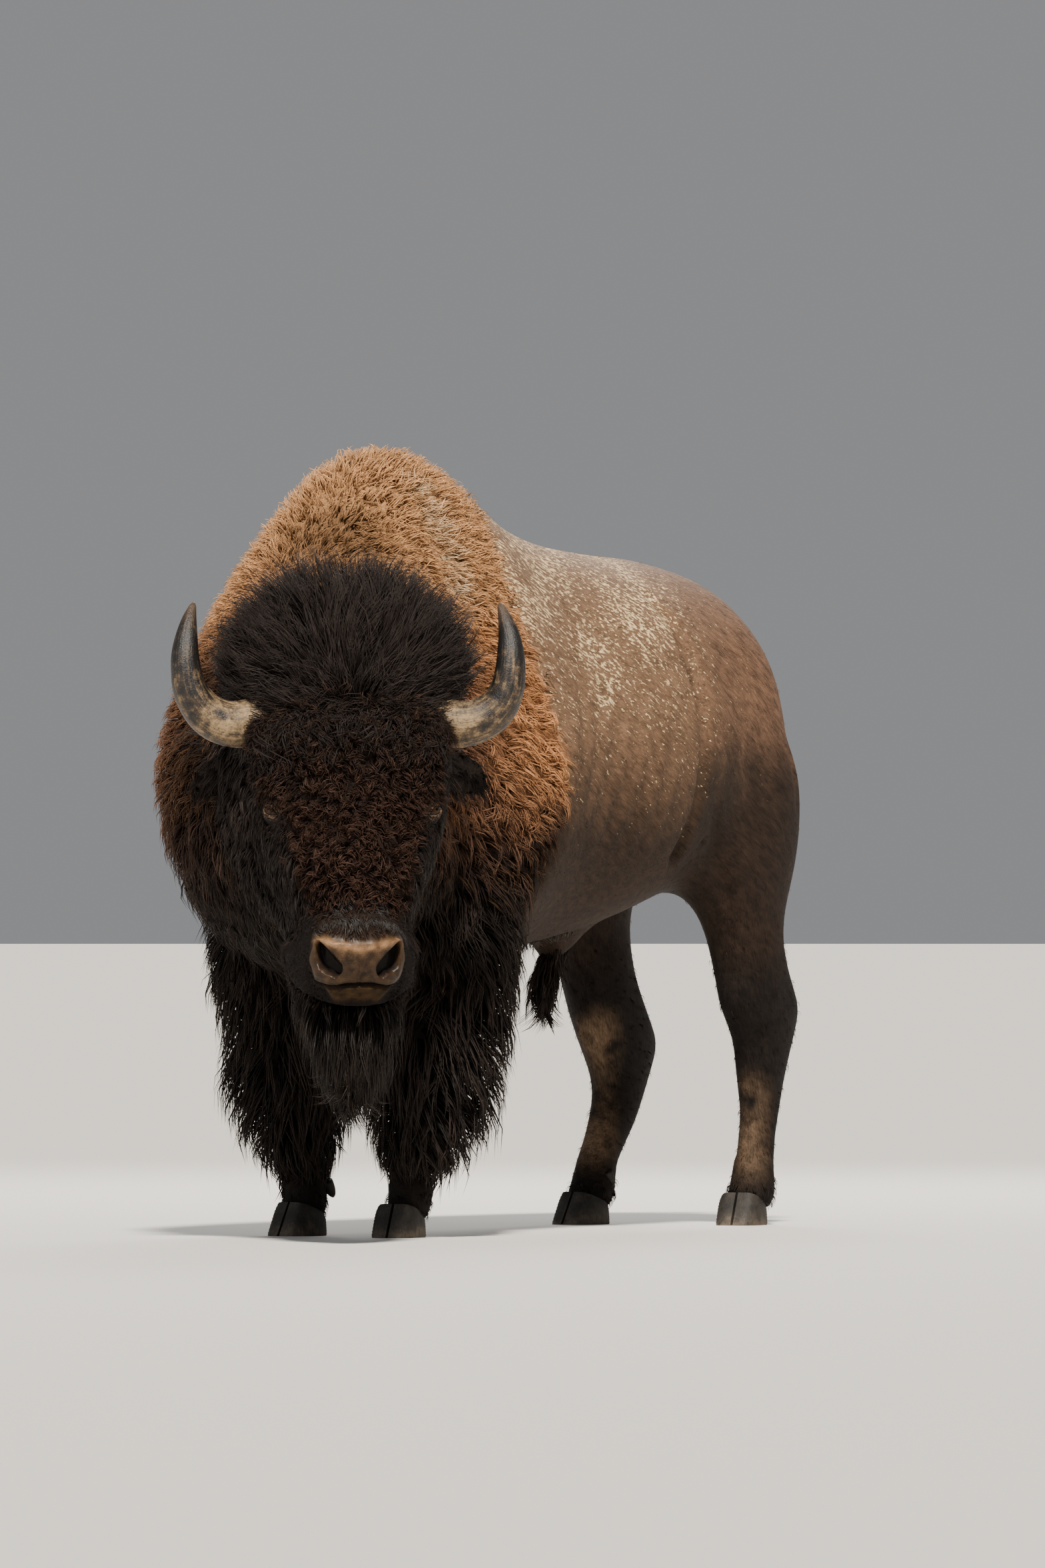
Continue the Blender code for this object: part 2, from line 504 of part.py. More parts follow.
body = fused_body()
eyes = eye_places(body)
for side_name, side in (("left", 1), ("right", -1)):
    subtract(body, socket(eyes[side_name], side))
    subtract(body, side_path("horn_pocket", HORN, side, 12, 12, GAP))
    subtract(body, side_path("ear_pocket", EAR, side, 7, 10, GAP))
for foot in FEET:
    subtract(body, below_coronet(foot))
for piece in parted(body):
    name = flesh_name(piece)
    keep(piece, name, coat_black if name == "head" or name.endswith("leg") else coat_brown)

for side_name, side in (("left", 1), ("right", -1)):
    keep(side_path("horn", HORN, side, 12, 12), "horn_" + side_name, horn_black)
    keep(side_path("ear", EAR, side, 7, 10), "ear_" + side_name, coat_black)
    ball = ellipsoid("eye", eyes[side_name], (EYE_RADIUS,) * 3, segments=12)
    keep(ball, "eye_" + side_name, eye_dark)
for foot in FEET:
    outer = 1 if foot.endswith("left") else -1
    keep(claw("claw", foot, outer), foot + "_outer_claw", hoof_black)
    keep(claw("claw", foot, -outer), foot + "_inner_claw", hoof_black)

# The whole animal is moved so that the middle of its box stands over the origin.
corners = np.array([v.co for obj in bison.objects for v in obj.data.vertices])
shift = -(corners.min(axis=0) + corners.max(axis=0)) / 2
shift[2] = -corners[:, 2].min()
for obj in bison.objects:
    obj.data.transform(Matrix.Translation(shift))
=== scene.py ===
"""An American bison bull, life size, standing with its head lowered and turned to its left.

Metres, +Z up. The bull faces -Y and its left side is +X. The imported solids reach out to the
tips of the coat; here a skin lies under them by the depth of the coat, and the coat's locks
stand on that skin and end at the solids' surface.
"""

import json

import bmesh
import bpy
import numpy as np
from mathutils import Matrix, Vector

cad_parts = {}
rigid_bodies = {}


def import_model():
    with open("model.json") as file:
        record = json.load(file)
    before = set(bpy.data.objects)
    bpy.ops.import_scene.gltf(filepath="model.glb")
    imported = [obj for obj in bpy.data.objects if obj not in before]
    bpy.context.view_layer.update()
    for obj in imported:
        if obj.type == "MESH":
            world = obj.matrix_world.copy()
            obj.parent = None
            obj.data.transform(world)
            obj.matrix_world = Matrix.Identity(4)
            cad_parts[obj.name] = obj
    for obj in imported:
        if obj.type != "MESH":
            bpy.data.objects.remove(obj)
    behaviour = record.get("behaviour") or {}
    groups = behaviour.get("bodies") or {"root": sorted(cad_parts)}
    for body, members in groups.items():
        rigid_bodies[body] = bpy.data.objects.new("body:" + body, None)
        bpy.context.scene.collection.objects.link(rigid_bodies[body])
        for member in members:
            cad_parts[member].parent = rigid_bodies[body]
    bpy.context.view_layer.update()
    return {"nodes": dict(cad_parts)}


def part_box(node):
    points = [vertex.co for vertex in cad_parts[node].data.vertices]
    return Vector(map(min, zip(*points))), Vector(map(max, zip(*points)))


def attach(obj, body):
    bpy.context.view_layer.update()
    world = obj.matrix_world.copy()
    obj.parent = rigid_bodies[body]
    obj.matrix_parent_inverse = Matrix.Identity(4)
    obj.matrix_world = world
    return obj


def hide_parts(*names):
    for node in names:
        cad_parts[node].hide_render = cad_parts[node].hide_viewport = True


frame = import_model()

# ---- Skin ----------------------------------------------------------------------------
# One hide covers trunk, neck, head, legs and tail without a seam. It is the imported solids
# fused into one closed surface, drawn in by the coat's depth, with nose, mouth and folds.
FLESH = ["trunk", "neck", "head", "tail", "fore_left_leg", "fore_right_leg", "hind_left_leg",
         "hind_right_leg"]
SKIN_GRAIN = 0.0142
HEAD_TURN, FACE_TILT = np.radians(36), np.radians(26)
UP = np.array((0.0, 0.0, 1.0))
FORWARD = np.array((np.sin(HEAD_TURN), -np.cos(HEAD_TURN), 0.0))
LEFT = np.array((np.cos(HEAD_TURN), np.sin(HEAD_TURN), 0.0))
DOWN_FACE = np.sin(FACE_TILT) * FORWARD - np.cos(FACE_TILT) * UP
OUT_OF_FACE = np.cos(FACE_TILT) * FORWARD + np.sin(FACE_TILT) * UP
EYES_AHEAD = 0.0228  # how far the eyes stand before the head's own middle line
FORE_FEET = ("fore_left_outer_claw", "fore_left_inner_claw", "fore_right_outer_claw", "fore_right_inner_claw")


def middle_of(*nodes):
    """The mean of the middles of these nodes' boxes."""
    return np.mean([np.add(*np.array(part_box(node))) / 2 for node in nodes], axis=0)


def foot_middle(foot):
    """The middle, on the floor, of a foot's two claws."""
    return middle_of(foot + "_outer_claw", foot + "_inner_claw") * (1, 1, 0)


eye_middles = {1: middle_of("eye_left"), -1: middle_of("eye_right")}  # by side, 1 being the bull's left
head_middle = (eye_middles[1] + eye_middles[-1]) / 2 - EYES_AHEAD * FORWARD + 0.0022 * UP
# The body's own zero: on the midline, level with the fore feet, on the floor.
body_zero = middle_of(*FORE_FEET) * (1, 1, 0) + (0.010, 0.038, 0.0)


def smooth_step(low, high, x):
    """0 before low, 1 past high, and 3 t^2 - 2 t^3 between them, t being the share of the way."""
    t = np.clip((x - low) / (high - low), 0, 1)
    return t * t * (3 - 2 * t)


def unit(vectors):
    """Each row divided by its length."""
    return vectors / np.maximum(np.linalg.norm(vectors, axis=-1, keepdims=True), 1e-9)


def along_table(table, at):
    """Smooth curve through a table: cubic pieces whose slopes are the mean of their neighbours'."""
    table = np.array(table, float)
    xs, ys = table[:, 0], table[:, 1:]
    slopes = np.gradient(ys, xs, axis=0)
    at = np.clip(np.atleast_1d(at), xs[0], xs[-1])
    i = np.clip(np.searchsorted(xs, at, side="right") - 1, 0, len(xs) - 2)
    step = (xs[i + 1] - xs[i])[:, None]
    t = (at - xs[i])[:, None] / step
    start = (1 + 2 * t) * (1 - t) ** 2 * ys[i] + t * (1 - t) ** 2 * step * slopes[i]
    return start + t * t * (3 - 2 * t) * ys[i + 1] - t * t * (1 - t) * step * slopes[i + 1]


def head_place(points):
    """Left of the head's middle, down the face, out of the face, height above the eyes, forward."""
    from_middle = points - head_middle
    return tuple(from_middle @ axis for axis in (LEFT, DOWN_FACE, OUT_OF_FACE, UP, FORWARD))


def gaze_of(side):
    """Which way an eye looks: out of the face, and three quarters as much aside."""
    return unit(OUT_OF_FACE + side * 0.75 * LEFT)


def toward(rows, share, others):
    """Rows moved, each by its share, of the way to another row or to a row each."""
    return rows + share[:, None] * (np.array(others) - rows)


def dots(first, second):
    """The dot product of each row with the other's row."""
    return np.einsum("ij,ij->i", first, second)


def beside_head(left, height, forward):
    """The place this far left of the head's middle, above the eyes and forward of them."""
    return head_middle + left * LEFT + height * UP + forward * FORWARD


def mesh_piece(name, points, faces, smooth=True):
    """An object made of these points and faces, all faces having the same number of corners."""
    mesh = bpy.data.meshes.new(name)
    corners = faces.shape[1]
    mesh.vertices.add(len(points))
    mesh.vertices.foreach_set("co", np.ascontiguousarray(points, np.float32).ravel())
    mesh.loops.add(faces.size)
    mesh.loops.foreach_set("vertex_index", np.ascontiguousarray(faces, np.int32).ravel())
    mesh.polygons.add(len(faces))
    mesh.polygons.foreach_set("loop_start", np.arange(0, faces.size, corners, dtype=np.int32))
    mesh.polygons.foreach_set("loop_total", np.full(len(faces), corners, np.int32))
    mesh.update(calc_edges=True)
    mesh.polygons.foreach_set("use_smooth", np.full(len(faces), smooth))
    made = bpy.data.objects.new(name, mesh)
    bpy.context.scene.collection.objects.link(made)
    return made


def points_of(mesh):
    """The mesh's vertices as rows."""
    flat = np.empty(len(mesh.vertices) * 3, np.float32)
    mesh.vertices.foreach_get("co", flat)
    return flat.reshape(-1, 3).astype(float)


def triangles_of(mesh):
    """The corners of the mesh's triangles as rows."""
    mesh.calc_loop_triangles()
    flat = np.empty(len(mesh.loop_triangles) * 3, np.int32)
    mesh.loop_triangles.foreach_get("vertices", flat)
    return flat.reshape(-1, 3)


def ball(middle, radii, axes):
    """Points and triangles of an ellipsoid: a sphere of 16 by 24 steps, stretched along three axes."""
    rows, count = 16, 24
    polar, round_ = np.meshgrid(np.linspace(0.02, np.pi - 0.02, rows), np.arange(count) * np.pi / 12,
                                indexing="ij")
    sphere = np.stack([np.sin(polar) * np.cos(round_), np.sin(polar) * np.sin(round_), np.cos(polar)], -1)
    points = middle + (sphere.reshape(-1, 3) * radii) @ np.array(axes)
    return points, grid_faces(rows, count)


def grid_faces(rows, columns, closed_ends=True):
    """Triangles over a grid whose columns run round, with a fan over each end."""
    i, j = np.meshgrid(np.arange(rows - 1), np.arange(columns), indexing="ij")
    i, j = i.ravel(), j.ravel()
    k = (j + 1) % columns
    a, b, c, d = i * columns + j, i * columns + k, (i + 1) * columns + k, (i + 1) * columns + j
    faces = [np.column_stack([a, d, c]), np.column_stack([a, c, b])]
    if closed_ends:
        fan = np.arange(1, columns - 1)
        first, last = np.zeros_like(fan), np.full_like(fan, (rows - 1) * columns)
        faces += [np.column_stack([first, fan, fan + 1]), np.column_stack([last, last + fan + 1, last + fan])]
    return np.vstack(faces)


def smoothed(values, ends, share, turns):
    """Each value is moved, turn after turn, by this share of the way to the mean of its neighbours."""
    count = np.bincount(ends.ravel(), minlength=len(values)).astype(float)
    share = np.broadcast_to(share, len(values))[:, None]
    for _ in range(turns):
        total = np.empty_like(values)
        for axis in range(values.shape[1]):
            column = values[:, axis]
            total[:, axis] = np.bincount(ends[:, 0], column[ends[:, 1]], len(values))
            total[:, axis] += np.bincount(ends[:, 1], column[ends[:, 0]], len(values))
        values = values + share * (total / count[:, None] - values)
    return values


def ends_of(mesh):
    """The two vertices of each edge as rows."""
    flat = np.empty(len(mesh.edges) * 2, np.int32)
    mesh.edges.foreach_get("vertices", flat)
    return flat.reshape(-1, 2)


def normals_of(points, triangles):
    """At each point, the sum of the crosswise products of the triangles that meet there, made a unit."""
    a, b, c = (points[triangles[:, k]] for k in range(3))
    face = np.cross(b - a, c - a)
    total = np.zeros_like(points)
    for k in range(3):
        for axis in range(3):
            total[:, axis] += np.bincount(triangles[:, k], face[:, axis], len(points))
    return unit(total)


# The solids and the plugs that close their eye, horn and ear pockets are fused. A horn's or an
# ear's plug has its place beside the head and its radii to the left, forward and up.
EYE_PLUG, EYE_PLUG_SUNK = 0.031, 0.021
HORN_PLUG = ((0.185, 0.205, -0.085), (0.085, 0.057, 0.057))
EAR_PLUG = ((0.180, 0.100, -0.170), (0.070, 0.050, 0.056))
forms = bmesh.new()
for node in FLESH:
    forms.from_mesh(frame["nodes"][node].data)
bmesh.ops.remove_doubles(forms, verts=forms.verts, dist=0.00001)
forms_mesh = bpy.data.meshes.new("forms")
forms.to_mesh(forms_mesh)
forms.free()
all_points, all_faces = [points_of(forms_mesh)], [triangles_of(forms_mesh)]
bpy.data.meshes.remove(forms_mesh)
for side in (1, -1):
    gaze = gaze_of(side)
    eye_at = eye_middles[side]
    plugs = [(eye_at - EYE_PLUG_SUNK * gaze, (EYE_PLUG,) * 3)]
    plugs += [(beside_head(side * left, height, forward), radii)
              for (left, height, forward), radii in (HORN_PLUG, EAR_PLUG)]
    for plug_middle, plug_radii in plugs:
        points, faces = ball(plug_middle, plug_radii, (LEFT, FORWARD, UP))
        all_faces.append(faces + sum(len(p) for p in all_points))
        all_points.append(points)
skin = mesh_piece("skin", np.vstack(all_points), np.vstack(all_faces))
fuse = skin.modifiers.new("fuse", "REMESH")
fuse.mode = "VOXEL"
fuse.voxel_size = SKIN_GRAIN
fused = bpy.data.meshes.new_from_object(skin.evaluated_get(bpy.context.evaluated_depsgraph_get()))
skin.modifiers.clear()
skin.data = fused

# The face is given finer faces: once round the muzzle, and once more at the nose itself.
for low, high, aside_most, out_least in ((0.22, 0.50, 0.17, -0.22), (0.27, 0.46, 0.120, -0.085),
                                         (0.305, 0.45, 0.105, -0.050)):
    fine = bmesh.new()
    fine.from_mesh(fused)
    left, down, out, height, forward = head_place(points_of(fused))
    wanted = (down > low) & (down < high) & (np.abs(left) < aside_most) & (out > out_least)
    edges = [edge for edge in fine.edges if wanted[edge.verts[0].index] and wanted[edge.verts[1].index]]
    bmesh.ops.subdivide_edges(fine, edges=edges, cuts=1, use_grid_fill=True)
    fine.to_mesh(fused)
    fine.free()

coat_top = points_of(fused)
ends = ends_of(fused)
triangles = triangles_of(fused)
left, down, out, height, forward = head_place(coat_top)
across, back, up = (coat_top - body_zero).T
tail_root = (smooth_step(1.50, 1.56, back) * smooth_step(0.080, 0.055, np.abs(across))
             * smooth_step(1.26, 1.30, up))
slender = np.max([smooth_step(0.68, 0.58, up), smooth_step(1.610, 1.635, back), tail_root], axis=0)
in_face = (smooth_step(-0.20, -0.10, down) * smooth_step(-0.28, -0.20, out)
           * smooth_step(0.30, 0.24, np.abs(left)))
coat_top = smoothed(coat_top, ends, 0.5 * (1 - 0.9 * slender) * (1 - 0.85 * in_face), 30)
coat_top = smoothed(coat_top, ends, 0.5 * (1 - 0.5 * slender * (back > 1.5)), 3)
coat_normals = unit(smoothed(normals_of(coat_top, triangles), ends, 0.5, 14))


def waves(points, size, seed):
    """Soft noise from -1 to 1: twelve plane waves of random heading, wave lengths round the size, and
    shift."""
    rng = np.random.default_rng(seed)
    heading = unit(rng.normal(size=(12, 3))) * (2 * np.pi / size) * rng.uniform(0.6, 1.7, (12, 1))
    return np.sin(points @ heading.T + rng.uniform(0, 2 * np.pi, 12)).sum(axis=1) / 4.2


def near_line(points, stations, radius):
    """1 on a broken line through stations of the body, fading to 0 at this radius."""
    stations = body_zero + np.array(stations)
    gap = np.full(len(points), 9.0)
    for start, end in zip(stations[:-1], stations[1:]):
        t = np.clip((points - start) @ (end - start) / ((end - start) @ (end - start)), 0, 1)
        gap = np.minimum(gap, np.linalg.norm(points - start - t[:, None] * (end - start), axis=1))
    return smooth_step(radius, 0.0, gap)


# Borders of the kinds of coat: the plane where neck passes into head; the cape's edge, as height
# over the floor and place along the body; the curls, as way down the face and half width; and the
# beard, as height over the floor, its middle forward of the head's, half width and half depth.
HEAD_SEAM = body_zero + (0.300, -0.600, 1.05)
HEAD_FACING = unit(np.array((np.sin(HEAD_TURN), -np.cos(HEAD_TURN), 0.05)))
CAPE_EDGE = [(0.60, 0.17), (0.79, 0.20), (0.91, 0.235), (1.06, 0.265), (1.28, 0.23), (1.465, 0.21),
             (1.63, 0.26), (1.80, 0.36)]
CURLS_WIDTH = [(-0.25, 0.215), (-0.10, 0.215), (0.00, 0.165), (0.07, 0.150), (0.14, 0.142), (0.21, 0.125),
               (0.27, 0.095)]
BEARD_LINE = [(0.29, 0.029, 0.040, 0.036), (0.35, 0.019, 0.078, 0.068), (0.43, 0.004, 0.112, 0.105),
              (0.52, -0.016, 0.135, 0.150), (0.60, -0.046, 0.148, 0.200), (0.68, -0.056, 0.160, 0.220)]


def zones(points):
    """The share, from 0 to 1, of each kind of coat at places on the outside of the coat."""
    left, down, out, height, forward = head_place(points)
    _, back, up = (points - body_zero).T
    aside = np.abs(left)
    found = {}
    before_seam = (points - HEAD_SEAM) @ HEAD_FACING
    mop = np.sqrt((left / 0.325) ** 2 + ((height - 0.345) / 0.215) ** 2 + ((forward + 0.165) / 0.245) ** 2)
    found["mop"] = smooth_step(1.13, 1.02, mop) * smooth_step(0.14, 0.21, height + 0.12 * aside)
    head = smooth_step(-0.05, 0.0, before_seam)
    middle, half_width, half_depth = along_table(BEARD_LINE, up).T
    from_beard = np.sqrt((left / (half_width + 0.01)) ** 2 + ((forward - middle) / (half_depth + 0.01)) ** 2)
    under_chin = up - 0.525 + 0.6 * (out + 0.075)
    found["beard"] = smooth_step(1.25, 1.05, from_beard) * smooth_step(0.005, -0.035, under_chin)
    width = along_table(CURLS_WIDTH, down)[:, 0]
    found["curls"] = (head * smooth_step(1.06, 0.94, aside / width) * smooth_step(0.285, 0.262, down)
                      * smooth_step(-0.03, 0.02, out) * (1 - found["mop"]))
    found["muzzle"] = (head * smooth_step(0.225, 0.275, down) * smooth_step(-0.21, -0.15, out)
                       * (1 - found["beard"]) * (1 - found["curls"]))
    found["face"] = (head * (1 - found["mop"]) * (1 - found["beard"]) * (1 - found["curls"])
                     * (1 - found["muzzle"]))
    rest = (1 - head) * (1 - found["mop"]) * (1 - found["beard"])
    edge = along_table(CAPE_EDGE, up)[:, 0] + 0.014 * waves(points, 0.13, 3)
    cape = rest * smooth_step(0.016, -0.016, back - edge)
    found["legs"] = rest * smooth_step(0.62, 0.54, up) * smooth_step(0.45, 0.40, back)
    found["chest"] = (cape * (1 - found["legs"])
                      * smooth_step(0.93, 0.72, up + 0.25 * np.clip(back, -0.5, 0.3)))
    found["cape"] = cape * (1 - found["legs"]) * (1 - found["chest"])
    found["rear"] = rest * (1 - smooth_step(0.016, -0.016, back - edge)) * (1 - found["legs"])
    return found


zone = zones(coat_top)
COAT_DEPTH = {"mop": 0.050, "beard": 0.035, "curls": 0.026, "muzzle": 0.003, "face": 0.020, "legs": 0.050,
              "chest": 0.062, "cape": 0.032, "rear": 0.006}
coat_depth = sum(COAT_DEPTH[kind] * share for kind, share in zone.items())
coat_depth = smoothed(coat_depth[:, None], ends, 0.5 * (1 - zone["muzzle"]), 14)[:, 0]
across, back, up = (coat_top - body_zero).T
hind_shanks = smooth_step(0.74, 0.60, up) * smooth_step(0.95, 1.05, back)
coat_depth -= hind_shanks * (coat_depth + 0.0005)
from_eye = np.min([np.linalg.norm(coat_top - at, axis=1) for at in eye_middles.values()], axis=0)
coat_depth += smooth_step(0.090, 0.045, from_eye) * (0.004 - coat_depth)

# Fore legs inside their shaggy trousers, the left and then the right: height over the floor, then
# middle (across, along) and half sizes (across, along) of the trousers, and the same of the leg.
FORE_LEG = {
    1: [(0.045, 0.135, -0.036, 0.055, 0.054, 0.135, -0.036, 0.052, 0.051),
        (0.092, 0.136, -0.016, 0.050, 0.051, 0.136, -0.018, 0.045, 0.046),
        (0.120, 0.140, -0.010, 0.053, 0.057, 0.138, -0.012, 0.048, 0.051),
        (0.148, 0.160, -0.015, 0.078, 0.085, 0.140, -0.012, 0.043, 0.047),
        (0.20, 0.190, -0.020, 0.138, 0.130, 0.143, -0.012, 0.038, 0.042),
        (0.27, 0.202, -0.020, 0.172, 0.155, 0.150, -0.014, 0.041, 0.045),
        (0.36, 0.208, -0.020, 0.190, 0.170, 0.160, -0.020, 0.058, 0.062),
        (0.48, 0.212, -0.010, 0.188, 0.175, 0.176, -0.010, 0.080, 0.092),
        (0.62, 0.220, 0.010, 0.185, 0.185, 0.205, 0.010, 0.130, 0.140)],
    -1: [(0.045, -0.155, 0.004, 0.055, 0.054, -0.155, 0.004, 0.052, 0.051),
         (0.092, -0.155, 0.024, 0.050, 0.051, -0.155, 0.022, 0.045, 0.046),
         (0.120, -0.157, 0.030, 0.053, 0.057, -0.157, 0.028, 0.048, 0.051),
         (0.148, -0.168, 0.025, 0.075, 0.083, -0.158, 0.027, 0.043, 0.047),
         (0.20, -0.188, 0.020, 0.125, 0.126, -0.160, 0.027, 0.038, 0.042),
         (0.27, -0.198, 0.020, 0.152, 0.150, -0.163, 0.025, 0.041, 0.045),
         (0.36, -0.204, 0.020, 0.166, 0.162, -0.168, 0.016, 0.058, 0.062),
         (0.48, -0.208, 0.030, 0.168, 0.170, -0.180, 0.022, 0.080, 0.092),
         (0.62, -0.224, 0.040, 0.184, 0.185, -0.208, 0.035, 0.130, 0.140)]}


def drawn_in(points, outer, pivot, share, weight):
    """Points moved, by their weight, to where the outer surface shrunk about a pivot by a share would have
    them."""
    return toward(points, weight, pivot + (outer - pivot) * share)


skin_points = coat_top - coat_depth[:, None] * coat_normals
for side, table in FORE_LEG.items():
    x, y, wide, deep, leg_x, leg_y, leg_wide, leg_deep = along_table(table, up).T
    leg = np.column_stack([leg_x + (across - x) * leg_wide / wide, leg_y + (back - y) * leg_deep / deep, up])
    weight = (smooth_step(0.60, 0.50, up) * smooth_step(-0.50, -0.36, back) * (back < 0.5)
              * (np.sign(across) == side))
    weight = weight * (1 - 0.45 * smooth_step(0.24, 0.40, up))
    skin_points = toward(skin_points, weight, body_zero + leg)
beard_root = beside_head(0, -0.350, -0.046) + (0.60 - (head_middle[2] - 0.350)) * UP
skin_points = drawn_in(skin_points, coat_top, beard_root, 0.42, zone["beard"])
poll = beside_head(0, 0.15, -0.11)
skin_points = drawn_in(skin_points, coat_top, poll, (0.64, 0.64, 0.52), zone["mop"])
tail_root = body_zero + (0.014, 1.706, 0.95)
weight = smooth_step(1.0, 0.90, up) * smooth_step(1.63, 1.66, back) * smooth_step(0.69, 0.72, up)
skin_points = drawn_in(skin_points, coat_top, tail_root, (0.42, 0.42, 0.55), weight)
sheath_root = body_zero + (0.0, 0.87, 0.64)
at_sheath = smooth_step(0.66, 0.60, up) * smooth_step(0.70, 0.75, back) * smooth_step(1.1, 1.0, back)
skin_points = drawn_in(skin_points, coat_top, sheath_root, 0.5, at_sheath)
skin_points = smoothed(skin_points, ends, 0.5 * (1 - 0.6 * in_face), 4)

# Furrows of the sleek hindquarters on both sides: where barrel meets thigh, between the thigh's
# muscles, along the ribs, over the gaskin, and small creases at the flank's fold.
FURROWS = [([(0.25, 0.86, 1.53), (0.33, 0.93, 1.38), (0.345, 0.945, 1.22), (0.345, 0.935, 1.05),
             (0.319, 0.905, 0.86)], 0.050, 0.024),
           ([(0.26, 1.50, 1.42), (0.30, 1.52, 1.20), (0.27, 1.50, 0.98), (0.23, 1.46, 0.80)], 0.045, 0.013),
           ([(0.33, 1.02, 1.02), (0.31, 1.12, 0.90), (0.26, 1.24, 0.74)], 0.040, 0.012),
           ([(0.27, 0.96, 0.90), (0.31, 1.03, 0.93)], 0.018, 0.009),
           ([(0.27, 0.97, 0.86), (0.31, 1.06, 0.89)], 0.016, 0.009),
           ([(0.26, 1.00, 0.82), (0.30, 1.09, 0.85)], 0.015, 0.008),
           ([(0.24, 1.50, 0.66), (0.22, 1.53, 0.52)], 0.034, 0.009),
           ([(0.24, 1.42, 0.50), (0.23, 1.41, 0.40)], 0.03, 0.005),
           ([(0.225, 1.48, 0.38), (0.225, 1.46, 0.17)], 0.022, 0.006),
           ([(0.145, 1.48, 0.38), (0.145, 1.46, 0.17)], 0.022, 0.006)]
# The right hind leg stands further forward, and its furrows with it.
left_like = back + 0.12 * (across < 0) * smooth_step(0.95, 0.60, up)
mirrored = body_zero + np.column_stack([np.abs(across), left_like, up])
sunk = sum(deep * near_line(mirrored, stations, radius) for stations, radius, deep in FURROWS)
ribs = 0.0022 * np.sin((back + 0.45 * (1.3 - up)) * 2 * np.pi / 0.085) * smooth_step(0.22, 0.35, back)
ribs *= smooth_step(0.88, 0.75, back) * smooth_step(0.80, 0.95, up) * smooth_step(1.35, 1.15, up)
furrows = (sunk + ribs) * np.maximum(zone["rear"], zone["legs"])
skin_points -= furrows[:, None] * coat_normals

# The tail's root is filled out, most of all below, where it leaves the rump.
dock = near_line(coat_top, [(0.0, 1.50, 1.40), (0.0, 1.60, 1.395), (0.0, 1.66, 1.36)], 0.085)
fuller = dock * (0.008 + 0.026 * smooth_step(0.1, -0.5, coat_normals[:, 2]))
skin_points = smoothed(skin_points + fuller[:, None] * coat_normals, ends, 0.5 * smooth_step(0.0, 0.3, dock),
                       5)

# Each pastern runs on down into the hoof's coronet and swells a little just above it.
for foot in ("fore_left", "fore_right", "hind_left", "hind_right"):
    from_foot = (skin_points - foot_middle(foot)) * (1, 1, 0)
    near = (smooth_step(0.16, 0.13, np.linalg.norm(from_foot, axis=1))
            * smooth_step(0.150, 0.080, skin_points[:, 2]))
    skin_points += near[:, None] * (0.17 * from_foot - 0.020 * UP)


# The muzzle: a comma-shaped nostril on each side, a pebbled pad between and over them, a groove
# down its middle, the mouth's slit, and the lower lip drawn back under the upper one.
# Along the nostril: share of its length, left of the face's middle, down the face, half width.
NOSTRIL = [(0.0, 0.086, 0.334, 0.0050), (0.3, 0.081, 0.353, 0.0115), (0.7, 0.068, 0.376, 0.0165),
           (1.0, 0.050, 0.391, 0.0125)]
left, down, out, height, forward = head_place(skin_points)
skin_normals = normals_of(skin_points, triangles)
beside_nose = np.abs(left)
nostril_line = along_table(NOSTRIL, np.linspace(0, 1, 25))
gap = (np.hypot(beside_nose[:, None] - nostril_line[:, 0], down[:, None] - nostril_line[:, 1])
       / nostril_line[:, 2])
nearest = gap.min(axis=1)
before = smooth_step(-0.05, -0.02, out)
nostril = smooth_step(1.15, 0.45, nearest) * before
outer_side = smooth_step(-0.2, 0.5, (beside_nose - 0.060) / 0.02 - (down - 0.366) / 0.02)
wing = np.exp(-((nearest - 1.60) / 0.45) ** 2) * before * (0.35 + 0.65 * outer_side)
mouth = out + 0.010 + 4.5 * left ** 2 + 0.25 * np.clip(0.40 - down, 0, 1)
at_mouth = smooth_step(0.30, 0.35, down) * (1 - zone["beard"]) * smooth_step(0.110, 0.080, beside_nose)
slit = np.exp(-(mouth / 0.0035) ** 2) * at_mouth
upper_lip = np.exp(-((mouth - 0.010) / 0.007) ** 2) * at_mouth
under_lip = (smooth_step(-0.002, -0.010, mouth) * smooth_step(-0.058, -0.036, mouth)
             * smooth_step(0.34, 0.38, down))
under_lip *= smooth_step(0.0, -0.018, beside_nose - 0.082 - 0.5 * np.clip(mouth, -0.06, 0))
groove = np.exp(-(left / 0.004) ** 2) * smooth_step(0.365, 0.390, down) * smooth_step(0.0, 0.008, mouth)
below_ridge = down - 0.360 + 3.8 * left ** 2
ridge = np.exp(-((below_ridge + 0.004) / 0.009) ** 2) * smooth_step(0.105, 0.080, beside_nose) * before
pad = smooth_step(-0.030, -0.014, below_ridge) * smooth_step(0.104, 0.088, beside_nose)
pad *= smooth_step(-0.045, -0.025, out) * smooth_step(-0.004, 0.004, mouth)
inward = -0.78 * OUT_OF_FACE - 0.45 * DOWN_FACE - 0.42 * np.sign(left)[:, None] * LEFT
swell = 0.0055 * wing + 0.0030 * upper_lip - 0.0075 * slit - 0.0030 * groove + 0.0070 * under_lip
swell += 0.0050 * ridge - 0.0040 * np.exp(-((below_ridge + 0.030) / 0.014) ** 2 - (left / 0.060) ** 2)
skin_points += swell[:, None] * skin_normals + 0.024 * nostril[:, None] * inward


# Eyelids, half closed: each is a ring of folds that starts at the slit between the lids, bends
# over a rounded rim, follows the eyeball out to a crease, and ends sunk under the skin round it.
EYEBALL = 0.021
LIDS_OPEN = (0.0195, 0.0084, 0.0100)  # half length of the slit, its height above and below
